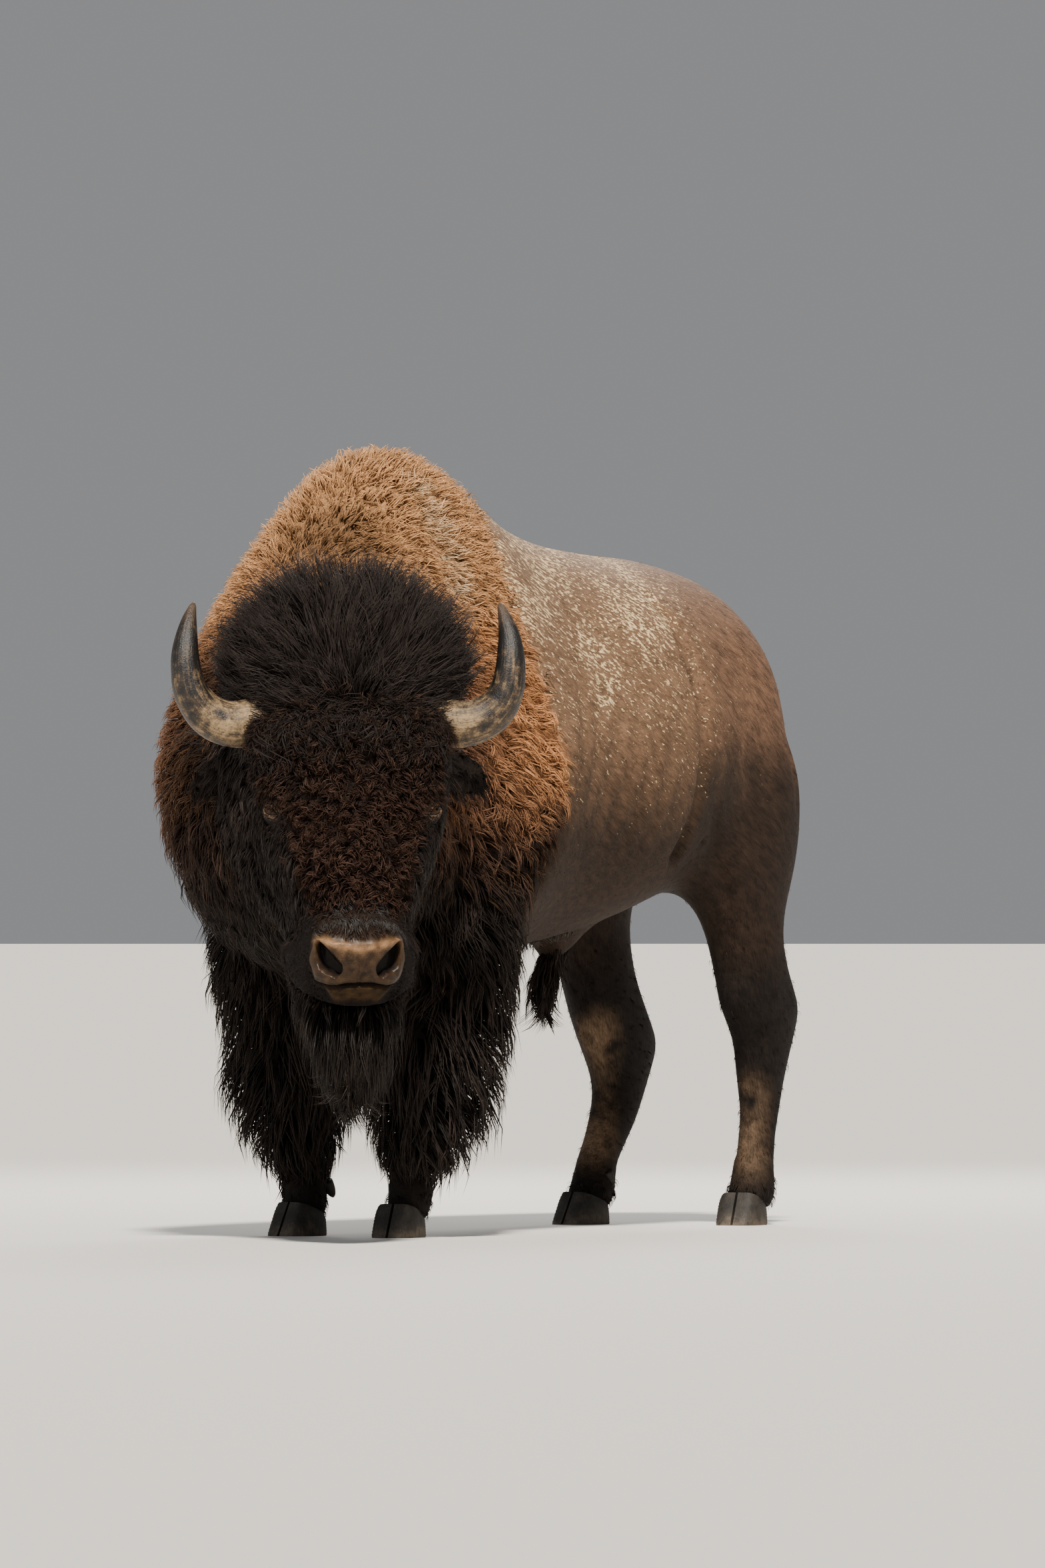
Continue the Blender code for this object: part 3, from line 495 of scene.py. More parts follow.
# Steps out from the slit: times its size, height over the eyeball, share of the skin's own level.
LID_STEPS = [(0.90, -0.0030, 0.0), (1.00, 0.0003, 0.0), (1.03, 0.0022, 0.0), (1.12, 0.0036, 0.0),
             (1.27, 0.0042, 0.0), (1.48, 0.0036, 0.0), (1.66, 0.0020, 0.05), (1.86, 0.0034, 0.15),
             (2.10, 0.0046, 0.30), (2.35, 0.0030, 0.5), (2.60, 0.0006, 0.8), (2.90, -0.0015, 1.0),
             (3.3, -0.006, 1.0), (3.9, -0.016, 1.0)]


def eye_axes(side):
    """The way the eye looks, the line from its inner to its outer corner, and its own up."""
    gaze = gaze_of(side)
    corner = side * 0.597 * LEFT - 0.665 * DOWN_FACE - 0.449 * OUT_OF_FACE
    corner = unit(corner - (corner @ gaze) * gaze)
    lift = np.cross(gaze, corner)
    return gaze, corner, lift * np.sign(lift @ UP)


def second_degree(a, b):
    """The six terms 1, a, b, a^2, ab and b^2 as columns."""
    return np.column_stack([np.ones_like(a), a, b, a * a, a * b, b * b])


def eyelids(side):
    """Rings round the slit. A ring's place over the eye is the eyeball's dome plus a step, or the skin's own
    level where that is higher, the level being the surface of second degree that fits the skin round the
    eye."""
    middle = eye_middles[side]
    gaze, corner, lift = eye_axes(side)
    near = skin_points - middle
    a, b, c = near @ corner, near @ lift, near @ gaze
    ring = (np.hypot(a, b) > 0.028) & (np.hypot(a, b) < 0.065) & (c > -0.05)
    level, *_ = np.linalg.lstsq(second_degree(a[ring], b[ring]), c[ring], rcond=None)
    count = 56
    angle = np.arange(count) * 2 * np.pi / count
    rounding = np.abs(np.sin(angle)) ** 1.35 * np.sign(np.sin(angle))
    rings, folds = [], []
    for size, over, share in LID_STEPS:
        grown = size - 1
        x = LIDS_OPEN[0] * np.cos(angle) * (1 + 0.62 * grown)
        high = np.where(rounding > 0, LIDS_OPEN[1] + 0.0108 * grown, LIDS_OPEN[2] + 0.0098 * grown)
        y = high * (rounding if size < 1.3 else np.sin(angle)) - 0.0012
        reach = np.hypot(x, y)
        dome = np.sqrt(np.clip((EYEBALL + over) ** 2 - reach ** 2, 0, 1))
        around = second_degree(x, y) @ level
        soft = 0.5 * (dome + around + np.sqrt((dome - around) ** 2 + 0.006 ** 2))
        height = dome if share == 0 else (1 - share) * soft + share * (around + over)
        rings.append(middle + x[:, None] * corner + y[:, None] * lift + height[:, None] * gaze)
        folds.append(np.full(count, size))
    points = np.vstack(rings)
    faces = grid_faces(len(LID_STEPS), count, closed_ends=False)
    spin = (np.cross(points[faces[0, 1]] - points[faces[0, 0]], points[faces[0, 2]] - points[faces[0, 0]])
            @ gaze)
    return points, faces if spin > 0 else faces[:, ::-1], np.concatenate(folds)


lids = [eyelids(side) for side in (1, -1)]
lid_start = len(skin_points)
hide_points = np.vstack([skin_points] + [points for points, _, _ in lids])
hide_faces = np.vstack([triangles]
                       + [faces + lid_start + i * len(points) for i, (points, faces, _) in enumerate(lids)])
lid_fold = np.concatenate([np.full(lid_start, 9.0)] + [fold for _, _, fold in lids])
bpy.data.objects.remove(skin)
skin = mesh_piece("skin", hide_points, hide_faces)
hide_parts(*FLESH)
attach(skin, "root")

# ---- Eyes ----------------------------------------------------------------------------
# Dark brown eyeballs with a clear bulging cornea and a pupil that lies level. Each sits in
# its lids; the wet surface is the eye's own gloss.


def painted(made, mark, values, kind="FLOAT"):
    """Values at the vertices of a mesh, under a name its material reads; colours get an alpha of 1."""
    layer = made.data.attributes.new(mark, kind, "POINT").data
    if kind == "FLOAT_COLOR":
        layer.foreach_set("color", np.column_stack([values, np.ones(len(values))]).astype(np.float32).ravel())
    else:
        layer.foreach_set("value", np.asarray(values, np.float32).ravel())


def eyeball(name, side):
    """A sphere whose pole looks along the gaze, swelling by 0.07 e^-(angle/0.42)^2 of its radius at the
    cornea."""
    gaze, corner, lift = eye_axes(side)
    middle = eye_middles[side]
    rows, count = 40, 48
    polar, round_ = np.meshgrid(np.linspace(0.004, np.pi - 0.004, rows), np.arange(count) * np.pi / 24,
                                indexing="ij")
    radius = EYEBALL * (1 + 0.07 * np.exp(-(polar / 0.42) ** 2))
    x, y = radius * np.sin(polar) * np.cos(round_), radius * np.sin(polar) * np.sin(round_)
    z = radius * np.cos(polar)
    points = middle + x.reshape(-1, 1) * corner + y.reshape(-1, 1) * lift + (z.reshape(-1, 1) - 0.0005) * gaze
    faces = grid_faces(rows, count)
    made = mesh_piece(name, points, faces if side < 0 else faces[:, ::-1])
    for mark, values in (("along_slit", x), ("across_slit", y)):
        painted(made, mark, values)
    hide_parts(name.replace("ball", ""))
    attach(made, "root")
    return made


def finish_of(name, colour, roughness, specular=0.5):
    """A new material with one Principled shader; returns the material, its node tree and the shader."""
    made = bpy.data.materials.new(name)
    made.use_nodes = True
    shader = made.node_tree.nodes["Principled BSDF"]
    shader.inputs["Base Color"].default_value = (*colour, 1)
    shader.inputs["Roughness"].default_value = roughness
    shader.inputs["Specular IOR Level"].default_value = specular
    return made, made.node_tree, shader


def node_of(tree, kind, wires=(), **settings):
    """A node of this kind; wires are (socket to feed, output or plain value), settings its own properties."""
    made = tree.nodes.new("ShaderNode" + kind)
    for setting, value in settings.items():
        setattr(made, setting, value)
    for socket, source in wires:
        if isinstance(source, bpy.types.NodeSocket):
            tree.links.new(source, made.inputs[socket])
        else:
            made.inputs[socket].default_value = source
    return made


def place_of(tree):
    """Where on the piece a point lies, in metres."""
    return node_of(tree, "TexCoord").outputs["Object"]


def marked(tree, mark):
    """The value painted on the mesh under this name."""
    return node_of(tree, "Attribute", attribute_name=mark).outputs["Fac"]


def reckon(tree, operation, *values):
    """The result of a Math node; values are outputs or numbers."""
    return node_of(tree, "Math", list(enumerate(values)), operation=operation).outputs[0]


def times(tree, *values):
    """The product of outputs or numbers."""
    return values[0] if len(values) == 1 else reckon(tree, "MULTIPLY", times(tree, *values[:-1]), values[-1])


def plus(tree, *values):
    """The sum of outputs or numbers."""
    return values[0] if len(values) == 1 else reckon(tree, "ADD", plus(tree, *values[:-1]), values[-1])


def less(tree, first, second):
    """The first output or number less the second."""
    return reckon(tree, "SUBTRACT", first, second)


def carried(tree, value, low, high, at_low=0.0, at_high=1.0):
    """A value's way from low to high carried over to the way from at_low to at_high, and held past its
    ends."""
    return node_of(tree, "MapRange",
                   [("Value", value), (1, low), (2, high), (3, at_low), (4, at_high)]).outputs[0]


def mixed(tree, share, first, second):
    """The first value moved by a share of the way to the second."""
    return plus(tree, times(tree, first, less(tree, 1.0, share)), times(tree, second, share))


def noise(tree, place, scale, detail, rough=0.5):
    """Noise read at a place, with this many octaves and this share of each in the next."""
    return node_of(tree, "TexNoise", [("Vector", place), ("Scale", scale), ("Detail", detail),
                                      ("Roughness", rough)]).outputs["Fac"]


def stretched(tree, place, scales):
    """A place scaled apart along its three axes."""
    return node_of(tree, "VectorMath", [(0, place), (1, scales)], operation="MULTIPLY").outputs[0]


def relief_of(tree, shader, height, strength, deep):
    """Small relief on a material, from a height in shares of this depth."""
    bump = node_of(tree, "Bump", [("Strength", strength), ("Distance", deep), ("Height", height)])
    tree.links.new(bump.outputs[0], shader.inputs["Normal"])


def scaled(tree, colour, share):
    """A colour made darker or lighter by a share."""
    return node_of(tree, "VectorMath", [(0, colour), ("Scale", share)], operation="SCALE").outputs[0]


def painted_colour(tree):
    """The colour painted on the mesh as its marking."""
    return node_of(tree, "Attribute", attribute_name="marking").outputs["Color"]


def ramp(tree, value, *stops):
    """A colour read off a ramp; stops are (place, colour)."""
    made = node_of(tree, "ValToRGB", [("Fac", value)])
    bar = made.color_ramp
    while len(bar.elements) < len(stops):
        bar.elements.new(0.5)
    for element, (place, colour) in zip(bar.elements, stops):
        element.position = place
        element.color = (*colour, 1)
    return made.outputs["Color"]


def blend(tree, share, first, second):
    """Two colours mixed by a share."""
    made = node_of(tree, "Mix", data_type="RGBA")
    for socket, source in ((0, share), (6, first), (7, second)):
        if isinstance(source, bpy.types.NodeSocket):
            tree.links.new(source, made.inputs[socket])
        else:
            made.inputs[socket].default_value = source if socket == 0 else (*source, 1)
    return made.outputs[2]


PUPIL = (0.0062, 0.0036)  # half its length and half its height
eye_finish, tree, shader = finish_of("wet_brown_eye", (0.02, 0.01, 0.006), 0.12, 0.14)
along, across_ = marked(tree, "along_slit"), marked(tree, "across_slit")
oval_ways = (reckon(tree, "DIVIDE", along, PUPIL[0]), reckon(tree, "DIVIDE", across_, PUPIL[1]))
oval, round_ = (reckon(tree, "SQRT", plus(tree, *(reckon(tree, "POWER", way, 2.0) for way in ways)))
                for ways in (oval_ways, (along, across_)))
spokes = noise(tree, place_of(tree), 420.0, 2.0)
ring = ramp(tree, plus(tree, reckon(tree, "DIVIDE", round_, EYEBALL), times(tree, spokes, 0.05)),
            (0.30, (0.024, 0.0115, 0.0055)), (0.66, (0.014, 0.0068, 0.0035)), (0.78, (0.004, 0.002, 0.0015)),
            (0.86, (0.007, 0.0045, 0.0032)), (0.98, (0.010, 0.006, 0.0045)))
tree.links.new(blend(tree, ramp(tree, oval, (0.85, (1, 1, 1)), (1.0, (0, 0, 0))), ring,
                     (0.001, 0.001, 0.0015)), shader.inputs["Base Color"])
shader.inputs["Coat Weight"].default_value = 0.06
shader.inputs["Coat Roughness"].default_value = 0.02
for name, side in (("eyeball_left", 1), ("eyeball_right", -1)):
    eyeball(name, side).data.materials.append(eye_finish)

# ---- Horns ---------------------------------------------------------------------------
# Short black sheaths of horn on bone cores: thick, ringed and scuffed pale where they leave
# the hair, curving out and up, and polished darker towards a worn, blunt tip.
# Left of the head's middle, height above the eyes, forward, radius.
HORN = [(0.150, 0.215, -0.085, 0.050), (0.205, 0.197, -0.085, 0.053), (0.262, 0.193, -0.080, 0.051),
        (0.314, 0.216, -0.072, 0.045), (0.347, 0.262, -0.066, 0.039), (0.358, 0.318, -0.068, 0.033),
        (0.357, 0.374, -0.080, 0.026), (0.349, 0.420, -0.094, 0.017), (0.337, 0.460, -0.108, 0.005)]


def ripple(u, v, waves):
    """A sum of sines over two parameters; each wave is (turns in u, turns in v, shift, height)."""
    return sum(high * np.sin(2 * np.pi * (across * u + along * v + shift))
               for across, along, shift, high in waves)


def with_map(made, name, u, v):
    """A UV map over a mesh, from one (u, v) at each vertex; a face whose corners lie over half the map apart
    in u has the low ones carried one whole turn up, so that a pattern runs on over the seam."""
    corner = np.empty(len(made.data.loops), np.int32)
    made.data.loops.foreach_get("vertex_index", corner)
    u, v = u[corner].reshape(-1, 3), v[corner].reshape(-1, 3)
    u = np.where(u.max(axis=1, keepdims=True) - u > 0.5, u + 1, u)
    made.data.uv_layers.new(name=name).data.foreach_set("uv", np.stack([u, v], -1).astype(np.float32).ravel())


def middle_line(table, side, v):
    """A horn's or an ear's middle line at shares v of its length: places, headings, then the table's
    sizes."""
    stations = np.array(table, float)
    length = np.concatenate([[0], np.cumsum(np.linalg.norm(np.diff(stations[:, :3], axis=0), axis=1))])
    left, height, forward, *sizes = along_table(np.column_stack([length / length[-1], stations]), v).T
    path = np.array([beside_head(side * l, h, f) for l, h, f in zip(left, height, forward)])
    return path, unit(np.gradient(path, axis=0)), *sizes


def horn(name, side):
    """Rounds carried along the horn's path, made wavy by growth rings near the base, grooves along it and
    dents."""
    rows, count = 150, 48
    v = np.linspace(0, 1, rows) ** 0.92
    path, ahead, radius = middle_line(HORN, side, v)
    flat = unit(FORWARD - (ahead @ FORWARD)[:, None] * ahead)
    wide = np.cross(ahead, flat)
    u = np.arange(count) / count
    grid_v, grid_u = np.meshgrid(v, u, indexing="ij")
    base = smooth_step(0.45, 0.10, grid_v)
    rings = base * ripple(grid_u, grid_v, [(1, 17, 0.1, 0.012), (2, 29, 0.4, 0.009), (-1, 41, 0.7, 0.006)])
    grooves = ripple(grid_u, grid_v, [(5, 0.6, 0.0, 0.010), (9, -1.1, 0.3, 0.007), (14, 1.7, 0.6, 0.004)])
    dents = ripple(grid_u, grid_v, [(1, 2.3, 0.2, 0.016), (2, -3.1, 0.5, 0.012), (3, 5.2, 0.9, 0.007)])
    tip = np.sqrt(np.clip((1 - grid_v) / 0.02, 0, 1))
    size = radius[:, None] * (1 + rings + grooves * (1 - 0.5 * grid_v) + dents) * (0.12 + 0.88 * tip)
    turn = 2 * np.pi * grid_u
    points = (path[:, None] + (size * np.cos(turn))[..., None] * wide[:, None]
              + (size * np.sin(turn))[..., None] * flat[:, None]).reshape(-1, 3)
    faces = grid_faces(rows, count)
    made = mesh_piece(f"{name}_sheath", points, faces if side > 0 else faces[:, ::-1])
    with_map(made, "along_horn", grid_u.ravel(), grid_v.ravel())
    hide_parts(name)
    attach(made, "root")
    return made


def outward(made):
    """Turns the faces over if the mesh's signed volume is negative."""
    points, faces = points_of(made.data), triangles_of(made.data)
    if dots(points[faces[:, 0]], np.cross(points[faces[:, 1]], points[faces[:, 2]])).sum() < 0:
        made.data.flip_normals()
    return made


def drawn_out(tree, map_name, scale_u, scale_v, scale):
    """Noise stretched over a piece's own map: so many grains round it, so many along it."""
    on_map = node_of(tree, "UVMap", uv_map=map_name).outputs["UV"]
    return noise(tree, stretched(tree, on_map, (scale_u, scale_v, 1.0)), scale, 4.0, 0.55)


horn_finish, tree, shader = finish_of("scuffed_black_horn", (0.03, 0.027, 0.023), 0.35, 0.32)
here = place_of(tree)
up_horn = node_of(tree, "SeparateXYZ",
                  [("Vector", node_of(tree, "UVMap", uv_map="along_horn").outputs["UV"])]).outputs["Y"]
streaks = drawn_out(tree, "along_horn", 22, 3.0, 1.6)
blotches = noise(tree, here, 32.0, 6.0, 0.7)
grit = noise(tree, here, 260.0, 3.0)
worn = plus(tree, times(tree, streaks, 0.5), times(tree, blotches, 0.9),
            less(tree, times(tree, grit, 0.22), 0.275), carried(tree, up_horn, 0.75, 0.15, -0.13, 0.11))
dusty = ramp(tree, worn, (0.40, (0.007, 0.006, 0.0055)), (0.50, (0.026, 0.018, 0.012)),
             (0.59, (0.085, 0.056, 0.030)), (0.74, (0.250, 0.170, 0.090)))
tip_brown = carried(tree, up_horn, 0.86, 0.97, 0.0, 0.6)
tree.links.new(blend(tree, tip_brown, dusty, (0.085, 0.050, 0.028)), shader.inputs["Base Color"])
tree.links.new(carried(tree, worn, 0.42, 0.74, 0.42, 0.70), shader.inputs["Roughness"])
fibres = drawn_out(tree, "along_horn", 60, 4.0, 1.5)
relief = plus(tree, times(tree, fibres, 0.6), times(tree, grit, 0.4), times(tree, worn, 0.8))
relief_of(tree, shader, relief, 0.75, 0.0022)
for name, side in (("horn_left", 1), ("horn_right", -1)):
    outward(horn(name, side)).data.materials.append(horn_finish)

# ---- Hooves --------------------------------------------------------------------------
# Eight black claws, two to a foot, each a wall of horn that leans back from a rounded toe to
# the hairy coronet, ringed by growth and flat on the floor; two dewclaws hang behind each foot.
CLAW_LENGTH, CLAW_WIDTH, CLAW_HEIGHT, CLAW_HEEL = 0.132, 0.058, 0.076, 0.046
TOE_SLOPE, CLEFT = np.radians(62), 0.006
FEET = {"fore_left": 8, "fore_right": -8, "hind_left": 10, "hind_right": -10}  # degrees turned outwards


def turned(points, degrees, to):
    """Points turned about the upright and then carried to a place."""
    c, s = np.cos(np.radians(degrees)), np.sin(np.radians(degrees))
    return points @ np.array(((c, s, 0), (-s, c, 0), (0, 0, 1))) + to


def claw(foot, which, side):
    """D-shaped outlines, flat at the cleft: half round outside, their width the cosine's 0.62nd power,
    stacked from the floor to the slanting coronet and leaning back by height over the toe's slope; growth
    rings ripple them."""
    rows, half = 22, 27
    slope = (CLAW_HEIGHT - CLAW_HEEL) / (CLAW_LENGTH - CLAW_HEIGHT / np.tan(TOE_SLOPE))
    t, angle = np.meshgrid(np.linspace(0, 1, rows), np.linspace(-np.pi / 2, np.pi / 2, half), indexing="ij")
    back = (1 - np.sin(angle)) / 2
    lean = (1 - back) ** 2 / np.tan(TOE_SLOPE)
    floor_line = (back - 0.5) * CLAW_LENGTH
    height = t * (CLAW_HEEL + slope * (CLAW_LENGTH / 2 - floor_line)) / (1 + slope * lean)
    along = floor_line + height * lean
    growth = 0.0007 * np.sin(height / 0.0062 * 2 * np.pi + 3 * back) * smooth_step(0.0, 0.15, t)
    worn = 0.0015 * smooth_step(0.10, 0.0, t)
    outward_ = (CLEFT / 2 + 0.008 + growth - worn + (CLAW_WIDTH - 0.008 - 0.004 * t - 0.009 * t ** 6)
                * np.cos(angle) ** 0.62 * (0.80 + 0.20 * back))
    outward_ = np.maximum(outward_, CLEFT / 2 + 0.0004)
    outer = np.stack([outward_, along, height], -1)
    inner = np.stack([np.full_like(along, CLEFT / 2), along, height], -1)[:, 1:-1][:, ::-1]
    points = (np.concatenate([outer, inner], axis=1) * (side, 1, 1)).reshape(-1, 3)
    name = f"{foot}_{which}_hoof"
    made = outward(mesh_piece(name, turned(points, FEET[foot], foot_middle(foot)),
                              grid_faces(rows, 2 * half - 2)))
    made.modifiers.new("edges", "EDGE_SPLIT").split_angle = np.radians(50)
    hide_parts(f"{foot}_{which}_claw")
    return made


def dewclaw(foot, side):
    """A blunt cone of ovals behind the pastern, from a bend inwards and down; its radius falls as the root of
    1 - t^2."""
    rows, count = 12, 20
    t, turn = np.meshgrid(np.linspace(0, 1, rows), np.arange(count) * np.pi / 10, indexing="ij")
    radius = 0.0145 * np.sqrt(1 - 0.96 * t ** 2)
    x = side * (0.022 + 0.004 * t) + radius * np.cos(turn)
    y = (0.070 if foot.startswith("hind") else 0.082) + 0.020 * t + radius * 0.8 * np.sin(turn)
    z = 0.122 - 0.036 * t + 0.5 * radius * np.sin(turn)
    points = np.stack([x, y, z], -1).reshape(-1, 3)
    name = f"{foot}_dewclaw_{'outer' if (side > 0) == foot.endswith('left') else 'inner'}"
    return outward(mesh_piece(name, turned(points, FEET[foot], foot_middle(foot)), grid_faces(rows, count)))


hoof_finish, tree, shader = finish_of("ringed_black_hoof", (0.03, 0.026, 0.022), 0.68, 0.3)
here = place_of(tree)
grain = noise(tree, stretched(tree, here, (1.0, 1.0, 0.12)), 330.0, 4.0)
patches = noise(tree, here, 34.0, 4.0)
low = carried(tree, node_of(tree, "SeparateXYZ", [("Vector", here)]).outputs["Z"], 0.040, 0.0, 0.0, 0.28)
dust = plus(tree, times(tree, grain, 0.4), times(tree, patches, 0.6), low)
tree.links.new(ramp(tree, dust, (0.40, (0.010, 0.0085, 0.0075)), (0.62, (0.028, 0.023, 0.018)),
                    (0.95, (0.12, 0.092, 0.064))), shader.inputs["Base Color"])
relief_of(tree, shader, grain, 0.5, 0.0008)
for foot in FEET:
    outer = 1 if foot.endswith("left") else -1
    for which, side in (("outer", outer), ("inner", -outer)):
        for made in (claw(foot, which, side), dewclaw(foot, side)):
            made.data.materials.append(hoof_finish)
            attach(made, "root")

# ---- Hide and markings ---------------------------------------------------------------
# The hide's own look: short smooth hair over grained leather, bare on nose, lips and lids, with
# folds where legs meet barrel and dried mud rubbed into flank and hump, its pale flank flecks partly
# painted glints of light. The coat shares its colours.
GOLDEN, ORANGE, RUSSET = (0.50, 0.26, 0.115), (0.47, 0.215, 0.090), (0.125, 0.058, 0.033)
DARK_BROWN, BLACK, DUSTY = (0.022, 0.0112, 0.0076), (0.0078, 0.0054, 0.0044), (0.30, 0.19, 0.112)
FLANK, RUMP, THIGH = (0.122, 0.070, 0.042), (0.112, 0.061, 0.037), (0.019, 0.0112, 0.0076)
POLL, CURLS, BRIDGE = (0.0115, 0.0075, 0.0062), (0.0195, 0.0100, 0.0072), (0.034, 0.020, 0.0135)
DRIED_MUD = (0.72, 0.56, 0.36)


def markings(points, kinds):
    """The coat's colour at places on its outside, from the kinds of coat there and the height and place on
    the body. Each share in turn moves the colour on from the ones before it."""
    across, back, up = (points - body_zero).T
    left, down, out = head_place(points)[:3]
    patchy = waves(points, 0.16, 5) + 0.6 * waves(points, 0.06, 6)
    from_edge = along_table(CAPE_EDGE, up)[:, 0] - back
    golden = smooth_step(1.28, 1.50, up + 0.04 * patchy)
    rim = smooth_step(0.40, 0.10, from_edge + 0.05 * patchy) * smooth_step(0.88, 1.10, up + 0.03 * patchy)
    dark_cap = smooth_step(0.20, 0.07, np.linalg.norm(points - body_zero - (0.09, -0.28, 1.57), axis=1))
    dark_front = smooth_step(-0.42, -0.62, back) * smooth_step(1.62, 1.40, up)
    # Painted shade: a dark line along the furrow where barrel meets thigh.
    painted_furrow_shade = near_line(body_zero + np.column_stack([np.abs(across), back, up]), FURROWS[0][0], 0.028)
    rear = np.tile(np.array(FLANK), (len(points), 1))
    for share, colour in (
            (smooth_step(0.80, 1.15, back + 0.04 * patchy), RUMP),
            (0.92 * smooth_step(1.20, 0.84, up + 0.03 * patchy), THIGH),
            (smooth_step(1.22, 0.95, up + 0.03 * patchy) * smooth_step(0.88, 1.0, back), THIGH),
            (0.75 * painted_furrow_shade, THIGH),
            (smooth_step(0.70, 0.52, up), BLACK)):
        rear = toward(rear, share, colour)
    dusty_cannon = near_line(points, [(-0.17, 1.38, 0.43), (-0.18, 1.37, 0.20)], 0.10)
    left_cannon = near_line(points, [(0.19, 1.45, 0.30), (0.19, 1.45, 0.16)], 0.08)
    dusty_cannon = np.maximum(dusty_cannon, 0.5 * left_cannon)
    head = kinds["mop"] + kinds["curls"] + kinds["face"] + kinds["muzzle"] + kinds["beard"]
    poll = np.clip(kinds["mop"] + kinds["curls"] * smooth_step(0.10, -0.16, down + 0.02 * patchy), 0, 1)
    saddle = (smooth_step(0.270, 0.295, down) * smooth_step(0.350, 0.335, down)
              * smooth_step(0.11, 0.07, np.abs(left)))
    colours = np.tile(np.array(RUSSET), (len(points), 1))
    for share, colour in (
            (np.maximum(rim, 0.75 * golden), ORANGE),
            (golden * smooth_step(-0.62, -0.25, back), GOLDEN),
            (smooth_step(1.05, 0.80, up + 0.05 * patchy + 0.15 * rim), DARK_BROWN),
            (0.6 * dark_cap, DARK_BROWN),
            (0.8 * dark_front, DARK_BROWN),
            (kinds["chest"] * smooth_step(0.90, 0.72, up), BLACK),
            (kinds["rear"], rear),
            (kinds["legs"], BLACK),
            (0.42 * dusty_cannon * smooth_step(-0.6, 0.6, patchy + 0.4), DUSTY),
            (np.clip(head, 0, 1), DARK_BROWN),
            (poll, POLL),
            (kinds["curls"] * smooth_step(-0.08, 0.22, down + 0.02 * patchy), CURLS),
            (0.8 * kinds["face"], BLACK),
            (0.9 * kinds["muzzle"], BLACK),
            (saddle * smooth_step(-0.06, -0.02, out), BRIDGE),
            (kinds["beard"], BLACK)):
        colours = toward(colours, share, colour)
    return np.clip(colours, 0.002, 1)


outside = np.vstack([coat_top, hide_points[lid_start:]])
hide_zone = zones(outside)
hide_colours = markings(outside, hide_zone)
across, back, up = (outside - body_zero).T
# Dried mud flecks on the flank, more on its upper part; the same mask also lightens the upper flank as
# painted light.
mud_and_light = (hide_zone["rear"] * smooth_step(0.75, 1.40, up + 0.05 * waves(outside, 0.3, 8))
          * smooth_step(1.62, 1.1, back) * (0.72 + 0.28 * np.clip(waves(outside, 0.22, 9) + 0.4, 0, 1)))
mud_and_light *= 1 - 0.6 * smooth_step(0.85, 1.2, back)
mud_band = near_line(outside, [(0.165, 0.02, 1.69), (0.221, 0.011, 1.586), (0.263, 0.010, 1.503),
                               (0.30, 0.010, 1.44)], 0.06)
mud_band *= smooth_step(-0.3, 0.4, waves(outside, 0.035, 10))
hide_colours = toward(hide_colours, np.clip(mud_band, 0, 1), DRIED_MUD)
for mark, values in (("nose_leather", pad), ("nose_ridge_highlight", ridge), ("nose_wing", wing),
                     ("lip", np.clip(under_lip + 0.8 * upper_lip, 0, 1)), ("nostril", nostril),
                     ("mouth_slit", slit)):
    painted(skin, mark, np.concatenate([values, np.zeros(len(hide_points) - lid_start)]))
for mark, values in (("short_hair", hide_zone["rear"] + 0.4 * hide_zone["legs"]), ("mud_and_painted_light", mud_and_light),
                     ("lid_fold", lid_fold), ("leg_hair", smooth_step(0.86, 0.70, up))):
    painted(skin, mark, values)
painted(skin, "marking", hide_colours, "FLOAT_COLOR")

BACKWARDS, DOWNWARDS = unit(np.array((0.0, 1.0, -0.55))), unit(np.array((0.0, 0.30, -1.0)))
ACROSS = np.array((1.0, 0.0, 0.0))


def lying_along(tree, here, lie, fine, stretch, detail=3.0):
    """Noise drawn out along a heading: the place's parts along the lie and in the two ways across it are
    scaled apart before the noise is read, which gives streaks of hair lying that way."""
    third = np.cross(lie, ACROSS)
    parts = [node_of(tree, "VectorMath", [(0, here), (1, tuple(axis))],
                     operation="DOT_PRODUCT").outputs["Value"] for axis in (lie, ACROSS, third)]
    place = node_of(tree, "CombineXYZ", [(0, times(tree, parts[0], fine / stretch)),
                                         (1, times(tree, parts[1], fine)),
                                         (2, times(tree, parts[2], fine))]).outputs[0]
    return noise(tree, place, 1.0, detail, 0.6)


hide_finish, tree, shader = finish_of("bison_hide", (0.1, 0.06, 0.04), 0.75, 0.10)
here = place_of(tree)
hair_back = lying_along(tree, here, BACKWARDS, 300.0, 9.0)
hair_down = lying_along(tree, here, DOWNWARDS, 280.0, 9.0)
hair = mixed(tree, marked(tree, "leg_hair"), hair_back, hair_down)
creases = lying_along(tree, here, BACKWARDS, 62.0, 3.2, 5.0)
wool = noise(tree, here, 130.0, 4.0, 0.7)
sleek = marked(tree, "short_hair")
creases = mixed(tree, sleek, wool, creases)
# The short coat's tone follows the hair streaks and creases of its relief, darker where the relief is low:
# partly the hair's own streaks, partly painted shade in the creases.
shade = carried(tree, plus(tree, times(tree, hair, 0.5), times(tree, creases, 0.5)), 0.36, 0.64, 0.40, 1.55)
